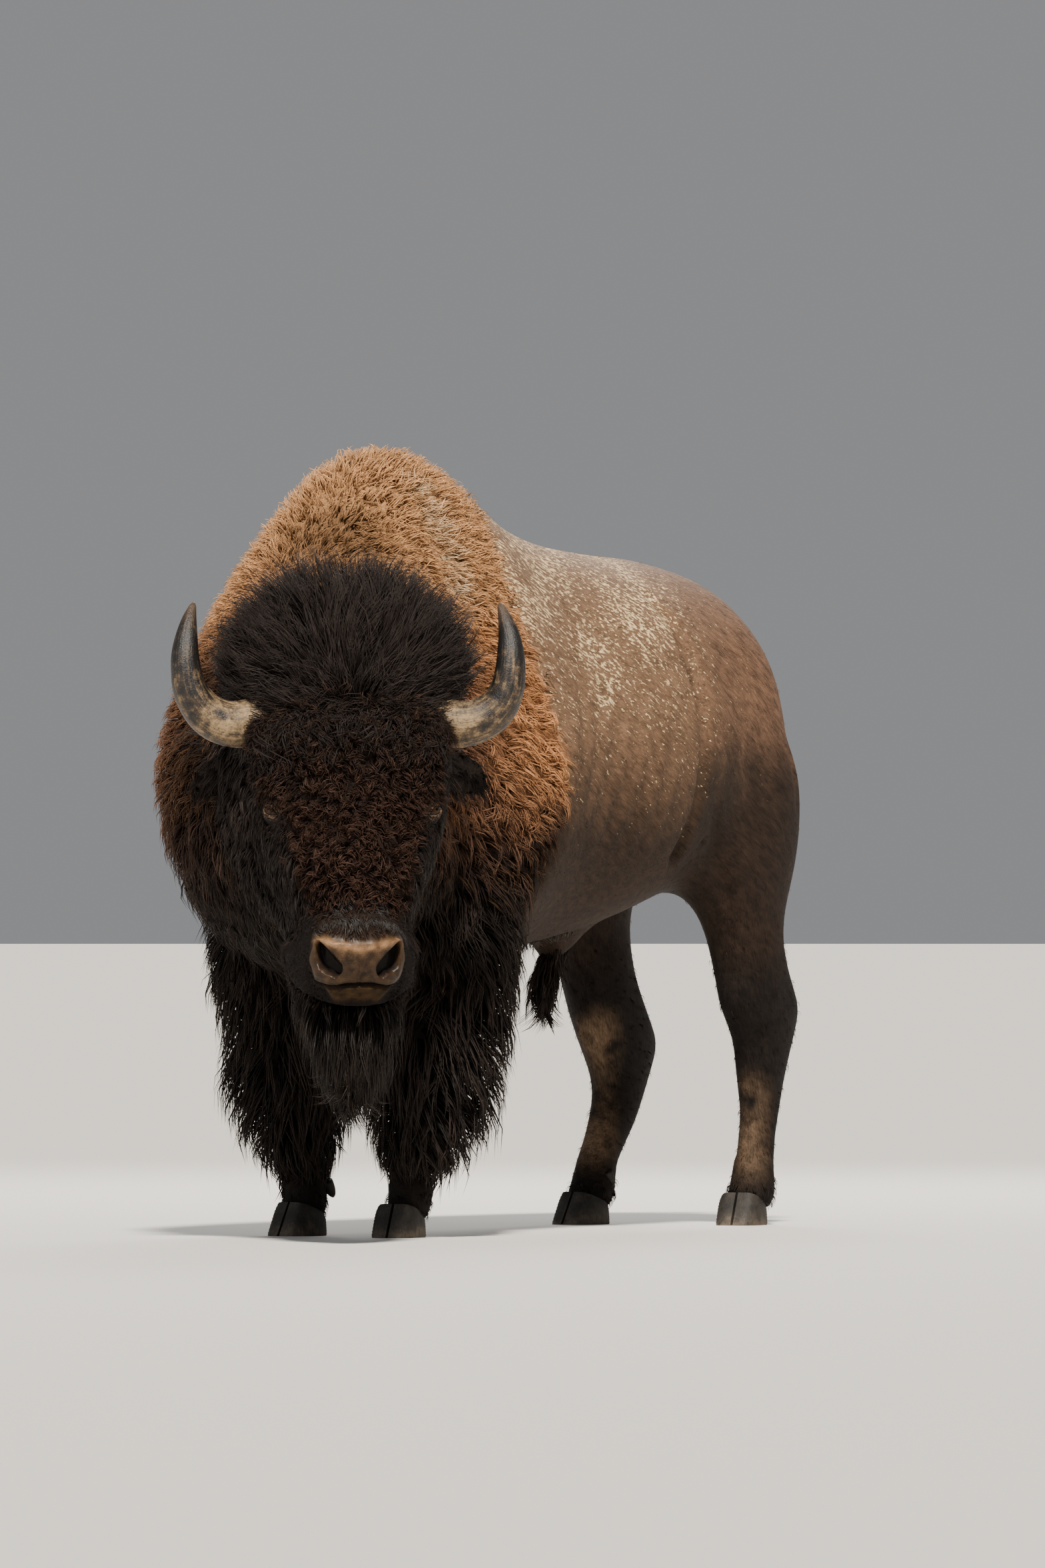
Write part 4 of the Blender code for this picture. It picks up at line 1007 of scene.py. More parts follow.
# Painted shade: the hide is darkened to 0.6 of its colour where long coat covers it.
shade = times(tree, shade, carried(tree, sleek, 0.0, 0.6, 0.6, 1.0))
short_coat = scaled(tree, painted_colour(tree), shade)
crackle = node_of(tree, "TexVoronoi",
                  [("Vector", stretched(tree, here, (190.0, 90.0, 140.0))), ("Scale", 1.0)],
                  feature="F1").outputs["Distance"]
mud_and_light = marked(tree, "mud_and_painted_light")
mud_and_glints = plus(tree, lying_along(tree, here, BACKWARDS, 165.0, 3.4, 5.0), times(tree, mud_and_light, 0.235))
mud_and_glints = carried(tree, less(tree, mud_and_glints, times(tree, crackle, 0.10)), 0.66, 0.73, 0.0, 0.95)
mud_and_glints = times(tree, mud_and_glints, carried(tree, mud_and_light, 0.02, 0.2))
# Painted light: the upper flank lightened toward pale tan, and the flecks painted pale, partly dried mud and
# partly painted glints.
coloured = blend(tree, times(tree, mud_and_light, 0.12), short_coat, (0.32, 0.21, 0.120))
coloured = blend(tree, mud_and_glints, coloured,
                 ramp(tree, wool, (0.35, (0.38, 0.25, 0.13)), (0.62, (0.78, 0.58, 0.34))))
fold = marked(tree, "lid_fold")
rim_colour = ramp(tree, reckon(tree, "DIVIDE", fold, 4.0), (0.245, (0.010, 0.006, 0.005)),
                  (0.262, (0.040, 0.024, 0.014)), (0.31, (0.018, 0.011, 0.007)),
                  (0.38, (0.008, 0.0055, 0.0045)), (0.47, (0.012, 0.008, 0.006)),
                  (0.60, (0.006, 0.0045, 0.004)))
grit = carried(tree, noise(tree, here, 340.0, 3.0), 0.50, 0.60, 0.0, 0.85)
grit = times(tree, grit, carried(tree, fold, 2.1, 1.5))
rim_colour = blend(tree, grit, rim_colour, (0.150, 0.098, 0.062))
coloured = blend(tree, carried(tree, fold, 3.4, 2.6), coloured, rim_colour)
pebbles = node_of(tree, "TexVoronoi", [("Vector", here), ("Scale", 420.0)],
                  feature="DISTANCE_TO_EDGE").outputs["Distance"]
leather = marked(tree, "nose_leather")
soft_grain = noise(tree, here, 55.0, 4.0)
nose_colour = ramp(tree, soft_grain, (0.34, (0.014, 0.0078, 0.0045)), (0.55, (0.037, 0.0200, 0.0098)),
                   (0.72, (0.070, 0.039, 0.0190)))
coloured = blend(tree, leather, coloured, nose_colour)
coloured = blend(tree, times(tree, marked(tree, "nose_wing"), 0.6), coloured, (0.072, 0.041, 0.0215))
# The nose's ridge: tan skin, brightened as a painted highlight along the pad's upper front edge.
coloured = blend(tree, times(tree, marked(tree, "nose_ridge_highlight"), 0.95), coloured,
                 ramp(tree, soft_grain, (0.3, (0.13, 0.070, 0.034)), (0.7, (0.33, 0.190, 0.098))))
coloured = blend(tree, times(tree, marked(tree, "lip"), 0.95), coloured,
                 ramp(tree, soft_grain, (0.35, (0.017, 0.009, 0.0035)), (0.65, (0.046, 0.025, 0.0095))))
# Painted shade: nostrils and the mouth's slit darkened to near black.
painted_hole_shade = reckon(tree, "MAXIMUM", marked(tree, "nostril"), marked(tree, "mouth_slit"))
coloured = blend(tree, carried(tree, painted_hole_shade, 0.12, 0.75), coloured, (0.006, 0.004, 0.0035))
tree.links.new(coloured, shader.inputs["Base Color"])
tree.links.new(less(tree, 0.72, times(tree, leather, 0.30)), shader.inputs["Roughness"])
tree.links.new(times(tree, leather, 0.10), shader.inputs["Coat Weight"])
shader.inputs["Coat Roughness"].default_value = 0.3
relief = plus(tree, times(tree, hair, 0.5), times(tree, creases, 1.1), times(tree, mud_and_glints, 0.35))
cobbled = times(tree, reckon(tree, "MINIMUM", times(tree, pebbles, 3.0), 0.55), 0.45)
relief_of(tree, shader, mixed(tree, leather, relief, cobbled), 0.85, 0.0045)
skin.data.materials.append(hide_finish)

# ---- Cape ----------------------------------------------------------------------------
# Woolly locks over hump, neck and shoulders, golden on top and orange at the border behind the
# shoulder, matted into clumps that fall back and down. Every coat piece below is made as this one is.
unwrapped = skin.copy()
unwrapped.data = skin.data.copy()
bpy.context.scene.collection.objects.link(unwrapped)
for thing in bpy.context.scene.objects:
    thing.select_set(thing == unwrapped)
bpy.context.view_layer.objects.active = unwrapped
bpy.ops.object.mode_set(mode="EDIT")
bpy.ops.mesh.select_all(action="SELECT")
bpy.ops.uv.smart_project(angle_limit=1.15, island_margin=0.002)
bpy.ops.object.mode_set(mode="OBJECT")
flat = np.empty(len(unwrapped.data.loops) * 2, np.float32)
unwrapped.data.uv_layers.active.data.foreach_get("uv", flat)
skin_uv = flat.reshape(-1, 3, 2)[:len(triangles)]
bpy.data.objects.remove(unwrapped)


def lying(points, normals, kinds):
    """Which way the coat lies: back and down over the body, down the legs and beard, down and back over the
    cheeks, and fanned out from a whorl on the bonnet; each heading is turned to lie in the surface."""
    across, _, up = (points - body_zero).T
    left, _, _, height, _ = head_place(points)
    side = np.sign(across)[:, None]
    to_back, to_side = np.array((0.0, 1.0, 0.0)), np.array((1.0, 0.0, 0.0))
    ridge = smooth_step(1.40, 1.66, up)[:, None]
    lie = (0.45 + 0.55 * ridge) * to_back - (0.9 - 0.6 * ridge) * UP + 0.15 * side * to_side
    low = smooth_step(1.1, 0.7, up)[:, None]
    rear = to_back * (1.0 - 0.65 * low) - UP * (0.45 + 0.55 * low)
    cheek = 0.85 * DOWN_FACE - 0.55 * FORWARD + 0.12 * np.sign(left)[:, None] * LEFT
    fan = (left[:, None] * LEFT * 1.5 + (height - 0.27 - 0.35 * np.abs(left))[:, None] * UP * 1.2
           - 0.05 * FORWARD)
    for share, heading in ((kinds["rear"], rear), (kinds["chest"] + kinds["legs"], (0.0, 0.10, -1.0)),
                           (kinds["face"] + kinds["muzzle"], cheek), (kinds["beard"], 0.15 * FORWARD - UP),
                           (kinds["curls"], DOWN_FACE + 1.4 * left[:, None] * LEFT),
                           (kinds["mop"], unit(fan))):
        lie = toward(lie, share, heading)
    return unit(lie - dots(lie, normals)[:, None] * normals)


def ground_of(base, top, normals, corners, lie, uv, colours):
    """What hair grows on: the surface at its roots, the coat's own surface, and what the two carry."""
    a, b, c = (top[corners[:, k]] for k in range(3))
    return {"base": base, "reach": top - base, "normals": normals, "corners": corners, "lie": lie, "uv": uv,
            "colours": colours, "side_b": b - a, "side_c": c - a,
            "area": np.linalg.norm(np.cross(b - a, c - a), axis=1) / 2}


on_top = {kind: share[:lid_start] for kind, share in hide_zone.items()}
hide = ground_of(skin_points, coat_top, coat_normals, triangles, lying(coat_top, coat_normals, on_top),
                 skin_uv, hide_colours[:lid_start])


TAPER = 0.92  # how much of its width a strand has lost at the tip
PATCH = 0.0015  # radius of a strand's patch on the bake's map
LOWEST = 0.012  # no hair comes nearer to the floor
FULL_COAT = 0.012  # where the coat is thinner than this, its hair is shorter


def strands_of(name, finish, path, outwards, half, place, tone, colours):
    """Closed three-cornered strands along paths: each thins to a point, its flat side toward the body. On the
    bake's map each is a small patch at its root's place on the unwrap of what it grows on."""
    many, steps = path.shape[:2]
    t = np.linspace(0, 1, steps)
    ahead = unit(np.gradient(path, axis=1))
    wide = unit(np.cross(ahead, outwards))
    outer = np.cross(wide, ahead)
    half = half[:, None, None] * (1 - TAPER * t[:-1, None] ** 1.5)
    rings = np.stack([path[:, :-1] - half * wide[:, :-1], path[:, :-1] + half * wide[:, :-1],
                      path[:, :-1] + 0.8 * half * outer[:, :-1]], axis=2)
    points = np.concatenate([rings.reshape(many, -1, 3), path[:, -1:]], axis=1)
    i, j = (k.ravel() for k in np.meshgrid(np.arange(steps - 2), np.arange(3), indexing="ij"))
    a, b = 3 * i + j, 3 * i + (j + 1) % 3
    last = 3 * (steps - 2)
    faces = np.vstack([np.column_stack([a, b + 3, b]), np.column_stack([a, a + 3, b + 3]),
                       [(last, last + 3, last + 1), (last + 1, last + 3, last + 2),
                        (last + 2, last + 3, last), (0, 1, 2)]])
    each = points.shape[1]
    faces = (np.arange(many)[:, None, None] * each + faces).reshape(-1, 3)
    made = mesh_piece(name, points.reshape(-1, 3), faces)
    around = np.tile(np.arange(3) * 2 * np.pi / 3, steps - 1)
    near = np.repeat(PATCH * (1 - 0.8 * t[:-1]), 3)
    patch = np.column_stack([np.append(near * np.cos(around), 0), np.append(near * np.sin(around), 0)])
    uv = (place[:, None] + patch).reshape(-1, 2)
    made.data.uv_layers.new(name="OFBake").data.foreach_set("uv",
                                                            uv[faces.ravel()].astype(np.float32).ravel())
    painted(made, "along", np.tile(np.append(np.repeat(t[:-1], 3), 1.0), many))
    painted(made, "tone", np.repeat(tone, each))
    painted(made, "marking", np.repeat(colours, each, axis=0), "FLOAT_COLOR")
    made.data.materials.append(finish)
    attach(made, "root")
    return made


def scattered(ground, weight, count, rng):
    """Places scattered by the ground's area times a weight: the triangle of each place, and its shares of the
    triangle's three corners."""
    corners = ground["corners"]
    chance = np.cumsum(ground["area"] * np.clip(weight[corners].mean(axis=1), 0, None))
    draws = (np.arange(count) + rng.random(count)) * chance[-1] / count
    pick = np.searchsorted(chance, draws).clip(0, len(corners) - 1)
    share = rng.random((count, 2))
    share = np.where(share.sum(axis=1, keepdims=True) > 1, 1 - share, share)
    return pick, np.column_stack([1 - share.sum(axis=1), share])


def bend_along(ground, pick, lie):
    """How fast the coat's surface turns away along each heading, in radians per metre: the change
    of the normal across the triangle, carried along the heading."""
    b, c = ground["side_b"][pick], ground["side_c"][pick]
    bb, bc, cc, bd, cd = dots(b, b), dots(b, c), dots(c, c), dots(b, lie), dots(c, lie)
    area = np.maximum(bb * cc - bc * bc, 1e-14)
    n0, n1, n2 = (ground["normals"][ground["corners"][pick, k]] for k in range(3))
    along_b, along_c = (cc * bd - bc * cd) / area, (bb * cd - bc * bd) / area
    change = along_b[:, None] * (n1 - n0) + along_c[:, None] * (n2 - n0)
    bend = dots(change, lie).clip(-3, 9)
    return np.where(np.abs(bend) < 0.05, 0.05, bend)


def locks(name, finish, ground, weight, seed, count, strands, length, width, rise=0.95, run=1.4,
          bow=2.0, wander=0.35, swirl=0.5, droop=0.0, curl=(0.0, 1.0), spread=0.010, gather=0.45, stations=5,
          lift=0.0, stray=0.0, sizes=None):
    """Locks scattered by weight over the ground, each of a few strands that share a path. The path goes along
    the lie on a circle as bent as the coat's surface there, by length * t^run, and rises off the ground by
    the coat's depth * rise * (1 - (1 - t)^bow); droop pulls it down by length * t^2, a helix curls it and
    strands gather towards its tip. Sizes at the ground's points grow or shrink the locks there, and stray
    lengthens a few."""
    rng = np.random.default_rng(seed)
    pick, share = scattered(ground, weight, count, rng)
    corners = ground["corners"][pick]
    root, reach, normal, lie, colours = (np.einsum("ij,ijk->ik", share, ground[key][corners])
                                         for key in ("base", "reach", "normals", "lie", "colours"))
    normal = unit(normal)
    lie = unit(lie - dots(lie, normal)[:, None] * normal)
    turn = (swirl * (waves(root, 0.11, seed + 1) + 0.6 * waves(root, 0.045, seed + 2))
            + wander * rng.normal(size=count))[:, None]
    beside = np.cross(normal, lie)
    lie, beside = np.cos(turn) * lie + np.sin(turn) * beside, np.cos(turn) * beside - np.sin(turn) * lie
    bend = bend_along(ground, pick, lie)
    many = count * strands
    own = np.repeat(np.arange(count), strands)
    size = (rng.uniform(0.72, 1.25, count) * (1 + 0.22 * waves(root, 0.09, seed + 3)).clip(0.5, 1.5))[own]
    size *= rng.uniform(0.75, 1.12, many)
    if sizes is not None:
        size *= dots(share, sizes[corners])[own]
    longer = 1 + stray * rng.random(many) ** 8
    long = (length * size * longer
            * np.minimum(1, 0.35 + 0.65 * np.linalg.norm(reach, axis=1) / FULL_COAT)[own])
    # At t the strand has gone s along its root's heading d, which bends by k toward -n; e is beside it.
    t = np.linspace(0, 1, stations + 1)
    s = long[:, None] * t ** run
    k = bend[own][:, None]
    n, d, e = (v[own][:, None] for v in (normal, lie, beside))
    aside, above = rng.normal(size=(2, many)) * spread * 0.55
    hold = 1 - (1 - gather) * t
    rising = (rise * rng.uniform(0.75, 1.1, count)[own] * rng.uniform(0.85, 1.08, many)
              * (1 + 0.35 * (longer - 1)))[:, None] * (1 - (1 - t) ** bow)
    phase = rng.uniform(0, 2 * np.pi, count)[own] + rng.normal(size=many) * 0.6
    turns = curl[1] * (rng.uniform(0.7, 1.3, count) * rng.choice([-1, 1], count))[own]
    round_ = phase[:, None] + 2 * np.pi * turns[:, None] * t
    coil = curl[0] * size[:, None] * np.minimum(1, 2.2 * t)
    over = above[:, None] * hold * 0.5 + coil * np.sin(round_) + lift * t - 0.003 * (1 - t) ** 3
    normal_now = n * np.cos(k * s)[..., None] + d * np.sin(k * s)[..., None]
    path = (root[own][:, None] + (np.sin(k * s) / k)[..., None] * d - ((1 - np.cos(k * s)) / k)[..., None] * n
            + rising[..., None] * reach[own][:, None]
            + over[..., None] * normal_now + (aside[:, None] * hold + coil * np.cos(round_))[..., None] * e)
    path[..., 2] -= droop * long[:, None] * t ** 2
    path[..., 2] = np.maximum(path[..., 2], LOWEST)
    return strands_of(name, finish, path, normal_now + 0.35 * rng.normal(size=(many, 1, 3)),
                      0.5 * width * size * rng.uniform(0.7, 1.25, many),
                      np.einsum("ij,ijk->ik", share, ground["uv"][pick])[own],
                      rng.random(count)[own] * 0.6 + rng.random(many) * 0.4, colours[own])


def hair_tones_with_painted_shade():
    """A node group for the colour of hair: its marking, times a painted shade that rises smoothly from dark
    at the root, where the coat's depth shades it, to light at the tip, and a shade of the strand's own, moved
    toward the tip's colour by the square of the way along the strand."""
    group = bpy.data.node_groups.new("hair_tones_with_painted_shade", "ShaderNodeTree")
    for socket, kind in (("Marking", "Color"), ("Along", "Float"), ("Tone", "Float"), ("Root Shade", "Float"),
                         ("Tip Shade", "Float"), ("Spread", "Float"), ("Tip Colour", "Color"),
                         ("Tip Share", "Float")):
        group.interface.new_socket(socket, in_out="INPUT", socket_type="NodeSocket" + kind)
    group.interface.new_socket("Colour", in_out="OUTPUT", socket_type="NodeSocketColor")
    given = group.nodes.new("NodeGroupInput").outputs
    # Painted shade: dark at the root and light at the tip, standing in for the shade deep in the coat.
    shade = node_of(group, "MapRange",
                    [("Value", given["Along"]), (1, 0.0), (2, 0.9), (3, given["Root Shade"]),
                     (4, given["Tip Shade"])], interpolation_type="SMOOTHSTEP").outputs[0]
    own_shade = carried(group, given["Tone"], 0.05, 0.95, less(group, 1.0, given["Spread"]),
                        plus(group, 1.0, given["Spread"]))
    body = scaled(group, given["Marking"], times(group, shade, own_shade))
    tipped = times(group, reckon(group, "POWER", given["Along"], 2.0), given["Tone"], 2.0, given["Tip Share"])
    group.links.new(blend(group, tipped, body, given["Tip Colour"]),
                    group.nodes.new("NodeGroupOutput").inputs[0])
    return group


hair_colours = hair_tones_with_painted_shade()


def hair_finish(name, root_shade, tip_shade, tip_colour, tip_share, roughness=0.62, specular=0.25,
                spread=0.55):
    """A coat's material: hair's tones with this coat's own values, read from the marks on its strands."""
    made, tree, shader = finish_of(name, (0.1, 0.05, 0.03), roughness, specular)
    tones = node_of(tree, "Group", node_tree=hair_colours, wires=[
        ("Marking", painted_colour(tree)), ("Along", marked(tree, "along")), ("Tone", marked(tree, "tone")),
        ("Root Shade", root_shade), ("Tip Shade", tip_shade), ("Spread", spread),
        ("Tip Colour", (*tip_colour, 1)), ("Tip Share", tip_share)])
    tree.links.new(tones.outputs["Colour"], shader.inputs["Base Color"])
    return made


across, back, up = (coat_top - body_zero).T
cape_finish = hair_finish("woolly_cape", 0.52, 1.18, (0.42, 0.25, 0.12), 0.14, 0.8, 0.08, 0.32)
finer_above = 1.10 - 0.38 * smooth_step(0.95, 1.40, up)
for name, seed, side in (("cape_left", 11, 1), ("cape_right", 12, -1)):
    locks(name, cape_finish, hide, on_top["cape"] * (np.sign(across) == side)
          / finer_above ** 1.5, seed, 1900, 5, 0.042, 0.0042, wander=0.5, spread=0.020, gather=0.55,
          curl=(0.0035, 0.5), stations=3, stray=0.5, sizes=finer_above)

# ---- Chest and trousers --------------------------------------------------------------
# Long black-brown hair on the chest and round the fore legs down to the pasterns, falling in
# loose pointed locks with feathery edges.
chest_finish = hair_finish("long_black_hair", 0.5, 1.15, (0.070, 0.042, 0.028), 0.22, 0.6, 0.18)
trousers = smooth_step(0.70, 0.62, up) * smooth_step(0.45, 0.40, back) * smooth_step(0.13, 0.17, up)
trousers = trousers * (1 - on_top["beard"]) * (1 - on_top["muzzle"]) * smooth_step(-0.50, -0.36, back)
for name, seed, side in (("trousers_left", 21, 1), ("trousers_right", 22, -1)):
    locks(name, chest_finish, hide, trousers * (np.sign(across) == side), seed, 900, 4, 0.105,
          0.0058, rise=0.90, run=1.5, bow=1.6, wander=0.25, swirl=0.35, droop=0.25, curl=(0.005, 0.9),
          spread=0.018, gather=0.4, stations=4)
locks("chest_hair", chest_finish, hide, on_top["chest"] * smooth_step(0.60, 0.66, up), 23, 920,
      5, 0.085, 0.0056, bow=1.8, wander=0.30, swirl=0.45, droop=0.15, curl=(0.005, 0.8), spread=0.018,
      gather=0.5, stations=4)

# ---- Beard ---------------------------------------------------------------------------
# Long straight-hanging black strands under the chin, wavy towards their tips, a few of them
# bleached tan.
beard_finish = hair_finish("glossy_black_beard", 0.5, 1.1, (0.12, 0.072, 0.040), 0.08, 0.45, 0.22, 0.7)
locks("beard", beard_finish, hide, on_top["beard"], 31, 600, 5, 0.110, 0.0044, rise=0.92,
      run=1.25, bow=1.7, wander=0.16, swirl=0.18, droop=0.20, curl=(0.0045, 1.0), spread=0.012, gather=0.35)

# ---- Bonnet --------------------------------------------------------------------------
# The mop on the poll: long soft hair, near black with a cold sheen, that stands up and fans out
# to both sides over the roots of the horns; in front it passes into the forehead's wool.
mop_finish = hair_finish("soft_dark_bonnet", 0.5, 1.2, (0.036, 0.027, 0.023), 0.30, 0.6, 0.16, 0.5)
left, down, out, height, forward = head_place(coat_top)
front_low = smooth_step(0.42, 0.22, height + 0.25 * np.abs(left)) * smooth_step(-0.24, -0.10, forward)
crown = on_top["mop"] * (1 - 0.85 * front_low)
over_horns = 1 + 0.5 * smooth_step(0.12, 0.22, np.abs(left)) * smooth_step(0.36, 0.22, height)
for name, seed, side in (("bonnet_left", 41, 1), ("bonnet_right", 42, -1)):
    locks(name, mop_finish, hide, crown * (np.sign(left) == side), seed, 740, 7, 0.088, 0.0038,
          rise=1.0, run=1.35, bow=1.2, wander=0.50, swirl=1.0, curl=(0.009, 0.6), spread=0.022, gather=0.30,
          stations=4, stray=0.4, sizes=over_horns)

# ---- Forehead wool -------------------------------------------------------------------
# Tight woolly curls from the bonnet down to a fringe above the nose, dark brown with lighter
# reddish tips where they stand out over the bridge, partly their own colour and partly a painted
# highlight; they overhang the eyes as brows.
# Dark roots and light tips: painted shade and painted highlight on the wool.
curl_finish = hair_finish("curly_forehead_wool", 0.40, 1.35, (0.120, 0.068, 0.047), 0.36, 0.8, 0.06, 0.45)
locks("forehead_curls", curl_finish, hide, on_top["curls"], 51, 1080, 6, 0.026, 0.0033,
      rise=1.0, run=1.0, bow=1.2, wander=1.4, swirl=0.7, curl=(0.0042, 0.9), spread=0.015, gather=0.55,
      stations=4, stray=0.4)
over_brow = on_top["mop"] * front_low + 0.8 * on_top["curls"] * smooth_step(-0.04, -0.18, down)
locks("forelock", mop_finish, hide, over_brow, 52, 600, 6, 0.055, 0.0036, rise=1.0, run=1.2,
      bow=1.3, wander=0.6, swirl=0.9, curl=(0.0065, 0.9), spread=0.016, gather=0.5, stations=4, stray=0.6)
for name, side in (("brow_left", 1), ("brow_right", -1)):
    gaze, corner, lift = eye_axes(side)
    off_eye = coat_top - eye_middles[side]
    a, b, c = off_eye @ corner, off_eye @ lift, off_eye @ gaze
    brow = (smooth_step(0.012, 0.022, b + 0.15 * a) * smooth_step(0.060, 0.040, b)
            * smooth_step(0.075, 0.055, np.abs(a)))
    brow_ground = dict(hide, lie=unit(-0.7 * lift + 0.5 * gaze - 0.3 * corner + 0 * coat_top),
                       reach=hide["reach"] + 0.008 * coat_normals)
    locks(name, curl_finish, brow_ground, brow * (c > -0.06), 53 + side, 80, 6, 0.019, 0.0022,
          rise=1.1, run=1.1, bow=1.1, wander=0.5, curl=(0.003, 0.7), gather=0.5, stations=4, lift=0.006)

# ---- Cheeks --------------------------------------------------------------------------
# Smooth black hair down the sides of the face, short round the eyes and nose and longer along
# the jaw, with a greyish fringe over the nose whose pale tips are partly painted sheen; a tuft
# overlaps the root of each horn.
cheek_finish = hair_finish("black_face_hair", 0.6, 1.2, (0.050, 0.030, 0.022), 0.16, 0.55, 0.2, 0.6)
away_from_eye = smooth_step(0.030, 0.055, from_eye)
locks("cheek_hair", cheek_finish, hide, on_top["face"] * away_from_eye, 61, 940, 5, 0.048,
      0.0040, rise=0.9, wander=0.2, swirl=0.35, curl=(0.002, 0.6), spread=0.012, gather=0.5, stations=3)
bare = np.clip(pad + under_lip + upper_lip + nostril + 0.5 * wing, 0, 1)
stubble_finish = hair_finish("face_stubble", 0.95, 1.2, (0.050, 0.030, 0.022), 0.16, 0.6, 0.15, 0.3)
below_nose = smooth_step(0.35, 0.375, down) * smooth_step(-0.085, -0.065, out)
bare = np.maximum(bare, below_nose * smooth_step(0.085, 0.065, np.abs(left)))
locks("muzzle_hair", stubble_finish, hide, np.clip(on_top["muzzle"] * (1 - 1.6 * bare), 0, 1),
      62, 1300, 3, 0.015, 0.0015, rise=1.1, wander=0.25, swirl=0.3, spread=0.006, stations=2, lift=0.001)
# The fringe's grey tips are partly the hair's own grey and partly a painted sheen.
fringe_sheen_finish = hair_finish("grey_nose_fringe_painted_sheen", 0.7, 1.6, (0.150, 0.135, 0.125), 0.30, 0.5, 0.3, 0.5)
over_nose = (smooth_step(0.245, 0.262, down) * smooth_step(0.305, 0.288, down)
             * smooth_step(0.100, 0.080, np.abs(left)))
fringe_ground = dict(hide, lie=unit(DOWN_FACE + 0.5 * OUT_OF_FACE + 2.5 * left[:, None] * LEFT),
                     reach=np.maximum(0.010, 0.7 * coat_depth)[:, None] * coat_normals,
                     colours=np.tile(np.array((0.0135, 0.0105, 0.0095)), (lid_start, 1)))
locks("nose_fringe", fringe_sheen_finish, fringe_ground, over_nose * smooth_step(-0.06, -0.02, out),
      68, 190, 5, 0.036, 0.0018, rise=1.0, run=1.2, bow=1.3, wander=0.45, curl=(0.002, 0.6), spread=0.008,
      gather=0.6, stations=3, stray=0.4)
near_eye = (smooth_step(0.020, 0.028, from_eye) * smooth_step(0.075, 0.055, from_eye)
            * smooth_step(-0.08, -0.05, out))
locks("hair_by_eyes", stubble_finish, dict(hide, reach=0.010 * coat_normals), near_eye, 63, 700,
      3, 0.017, 0.0015, wander=0.25, swirl=0.3, spread=0.006, stations=2)
for name, side in (("horn_root_left", 1), ("horn_root_right", -1)):
    root_at, next_at = beside_head(side * 0.150, 0.205, -0.085), beside_head(side * 0.262, 0.193, -0.080)
    along_horn = unit(next_at - root_at)
    from_axis = coat_top - root_at
    beyond = from_axis - (from_axis @ along_horn)[:, None] * along_horn
    collar = (smooth_step(0.095, 0.070, np.linalg.norm(beyond, axis=1))
              * (np.abs(from_axis @ along_horn) < 0.08))
    collar_ground = dict(hide, lie=unit(along_horn + 0 * coat_top),
                         reach=0.5 * hide["reach"] + 0.02 * along_horn)
    locks(name, curl_finish, collar_ground, collar, 64 + side, 120, 6, 0.042, 0.0028, rise=0.9,
          bow=1.5, swirl=0.4, curl=(0.003, 0.7), spread=0.012, gather=0.5, stations=4)

# ---- Ears ----------------------------------------------------------------------------
# Small drooping cups of skin behind and below the horns, buried in long black hair.
# Left of the head's middle, height above the eyes, forward, half width, half thickness.
EAR = [(0.150, 0.105, -0.150, 0.030, 0.022), (0.200, 0.100, -0.180, 0.040, 0.024),
       (0.248, 0.086, -0.210, 0.046, 0.020), (0.288, 0.068, -0.236, 0.038, 0.014),
       (0.318, 0.050, -0.256, 0.010, 0.005)]

EAR_ROWS, EAR_ROUND = 26, 28


def ear(name, side):
    """Ovals along the ear's path; the half that faces forward and down is pushed back in, which makes the
    cup."""
    v = np.linspace(0, 1, EAR_ROWS)
    path, ahead, broad, thick = middle_line(EAR, side, v)
    face = unit(FORWARD - 0.35 * UP - ((FORWARD - 0.35 * UP) @ ahead.T)[:, None] * ahead)
    wide = np.cross(ahead, face)
    turn = np.arange(EAR_ROUND) * 2 * np.pi / EAR_ROUND
    cup = np.where(np.sin(turn) > 0, -0.35 * smooth_step(0.15, 0.6, v)[:, None], 1.0)
    x, y = broad[:, None] * np.cos(turn), thick[:, None] * np.sin(turn) * cup
    points = path[:, None] + x[..., None] * wide[:, None] + y[..., None] * face[:, None]
    made = outward(mesh_piece(f"{name}_cup", points.reshape(-1, 3), grid_faces(EAR_ROWS, EAR_ROUND)))
    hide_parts(name)
    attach(made, "root")
    return made, ahead


ear_finish, tree, shader = finish_of("dark_ear_skin", (0.012, 0.0085, 0.0075), 0.7, 0.15)
here = place_of(tree)
fuzz = noise(tree, here, 240.0, 3.0)
tree.links.new(ramp(tree, fuzz, (0.35, (0.007, 0.005, 0.0045)), (0.65, (0.028, 0.018, 0.014))),
               shader.inputs["Base Color"])
relief_of(tree, shader, fuzz, 0.7, 0.002)
for name, side in (("ear_left", 1), ("ear_right", -1)):
    made, ahead = ear(name, side)
    made.data.materials.append(ear_finish)
    points, corners = points_of(made.data), triangles_of(made.data)
    outs = normals_of(points, corners)
    spot = np.column_stack([np.arange(len(points)) % EAR_ROUND / EAR_ROUND,
                            np.arange(len(points)) // EAR_ROUND / EAR_ROWS])
    lie = np.repeat(ahead, EAR_ROUND, axis=0) - 0.45 * UP
    ear_ground = ground_of(points - 0.002 * outs, points + 0.008 * outs, outs, corners, unit(lie),
                           (0.05 + 0.9 * spot)[corners], np.tile(np.array(BLACK) * 1.3, (len(points), 1)))
    locks(f"{name}_hair", cheek_finish, ear_ground, np.ones(len(points)), 66 + side, 150, 5,
          0.040, 0.0028, rise=1.0, wander=0.3, swirl=0.3, droop=0.3, curl=(0.003, 0.6), spread=0.009,
          gather=0.5, stations=4)

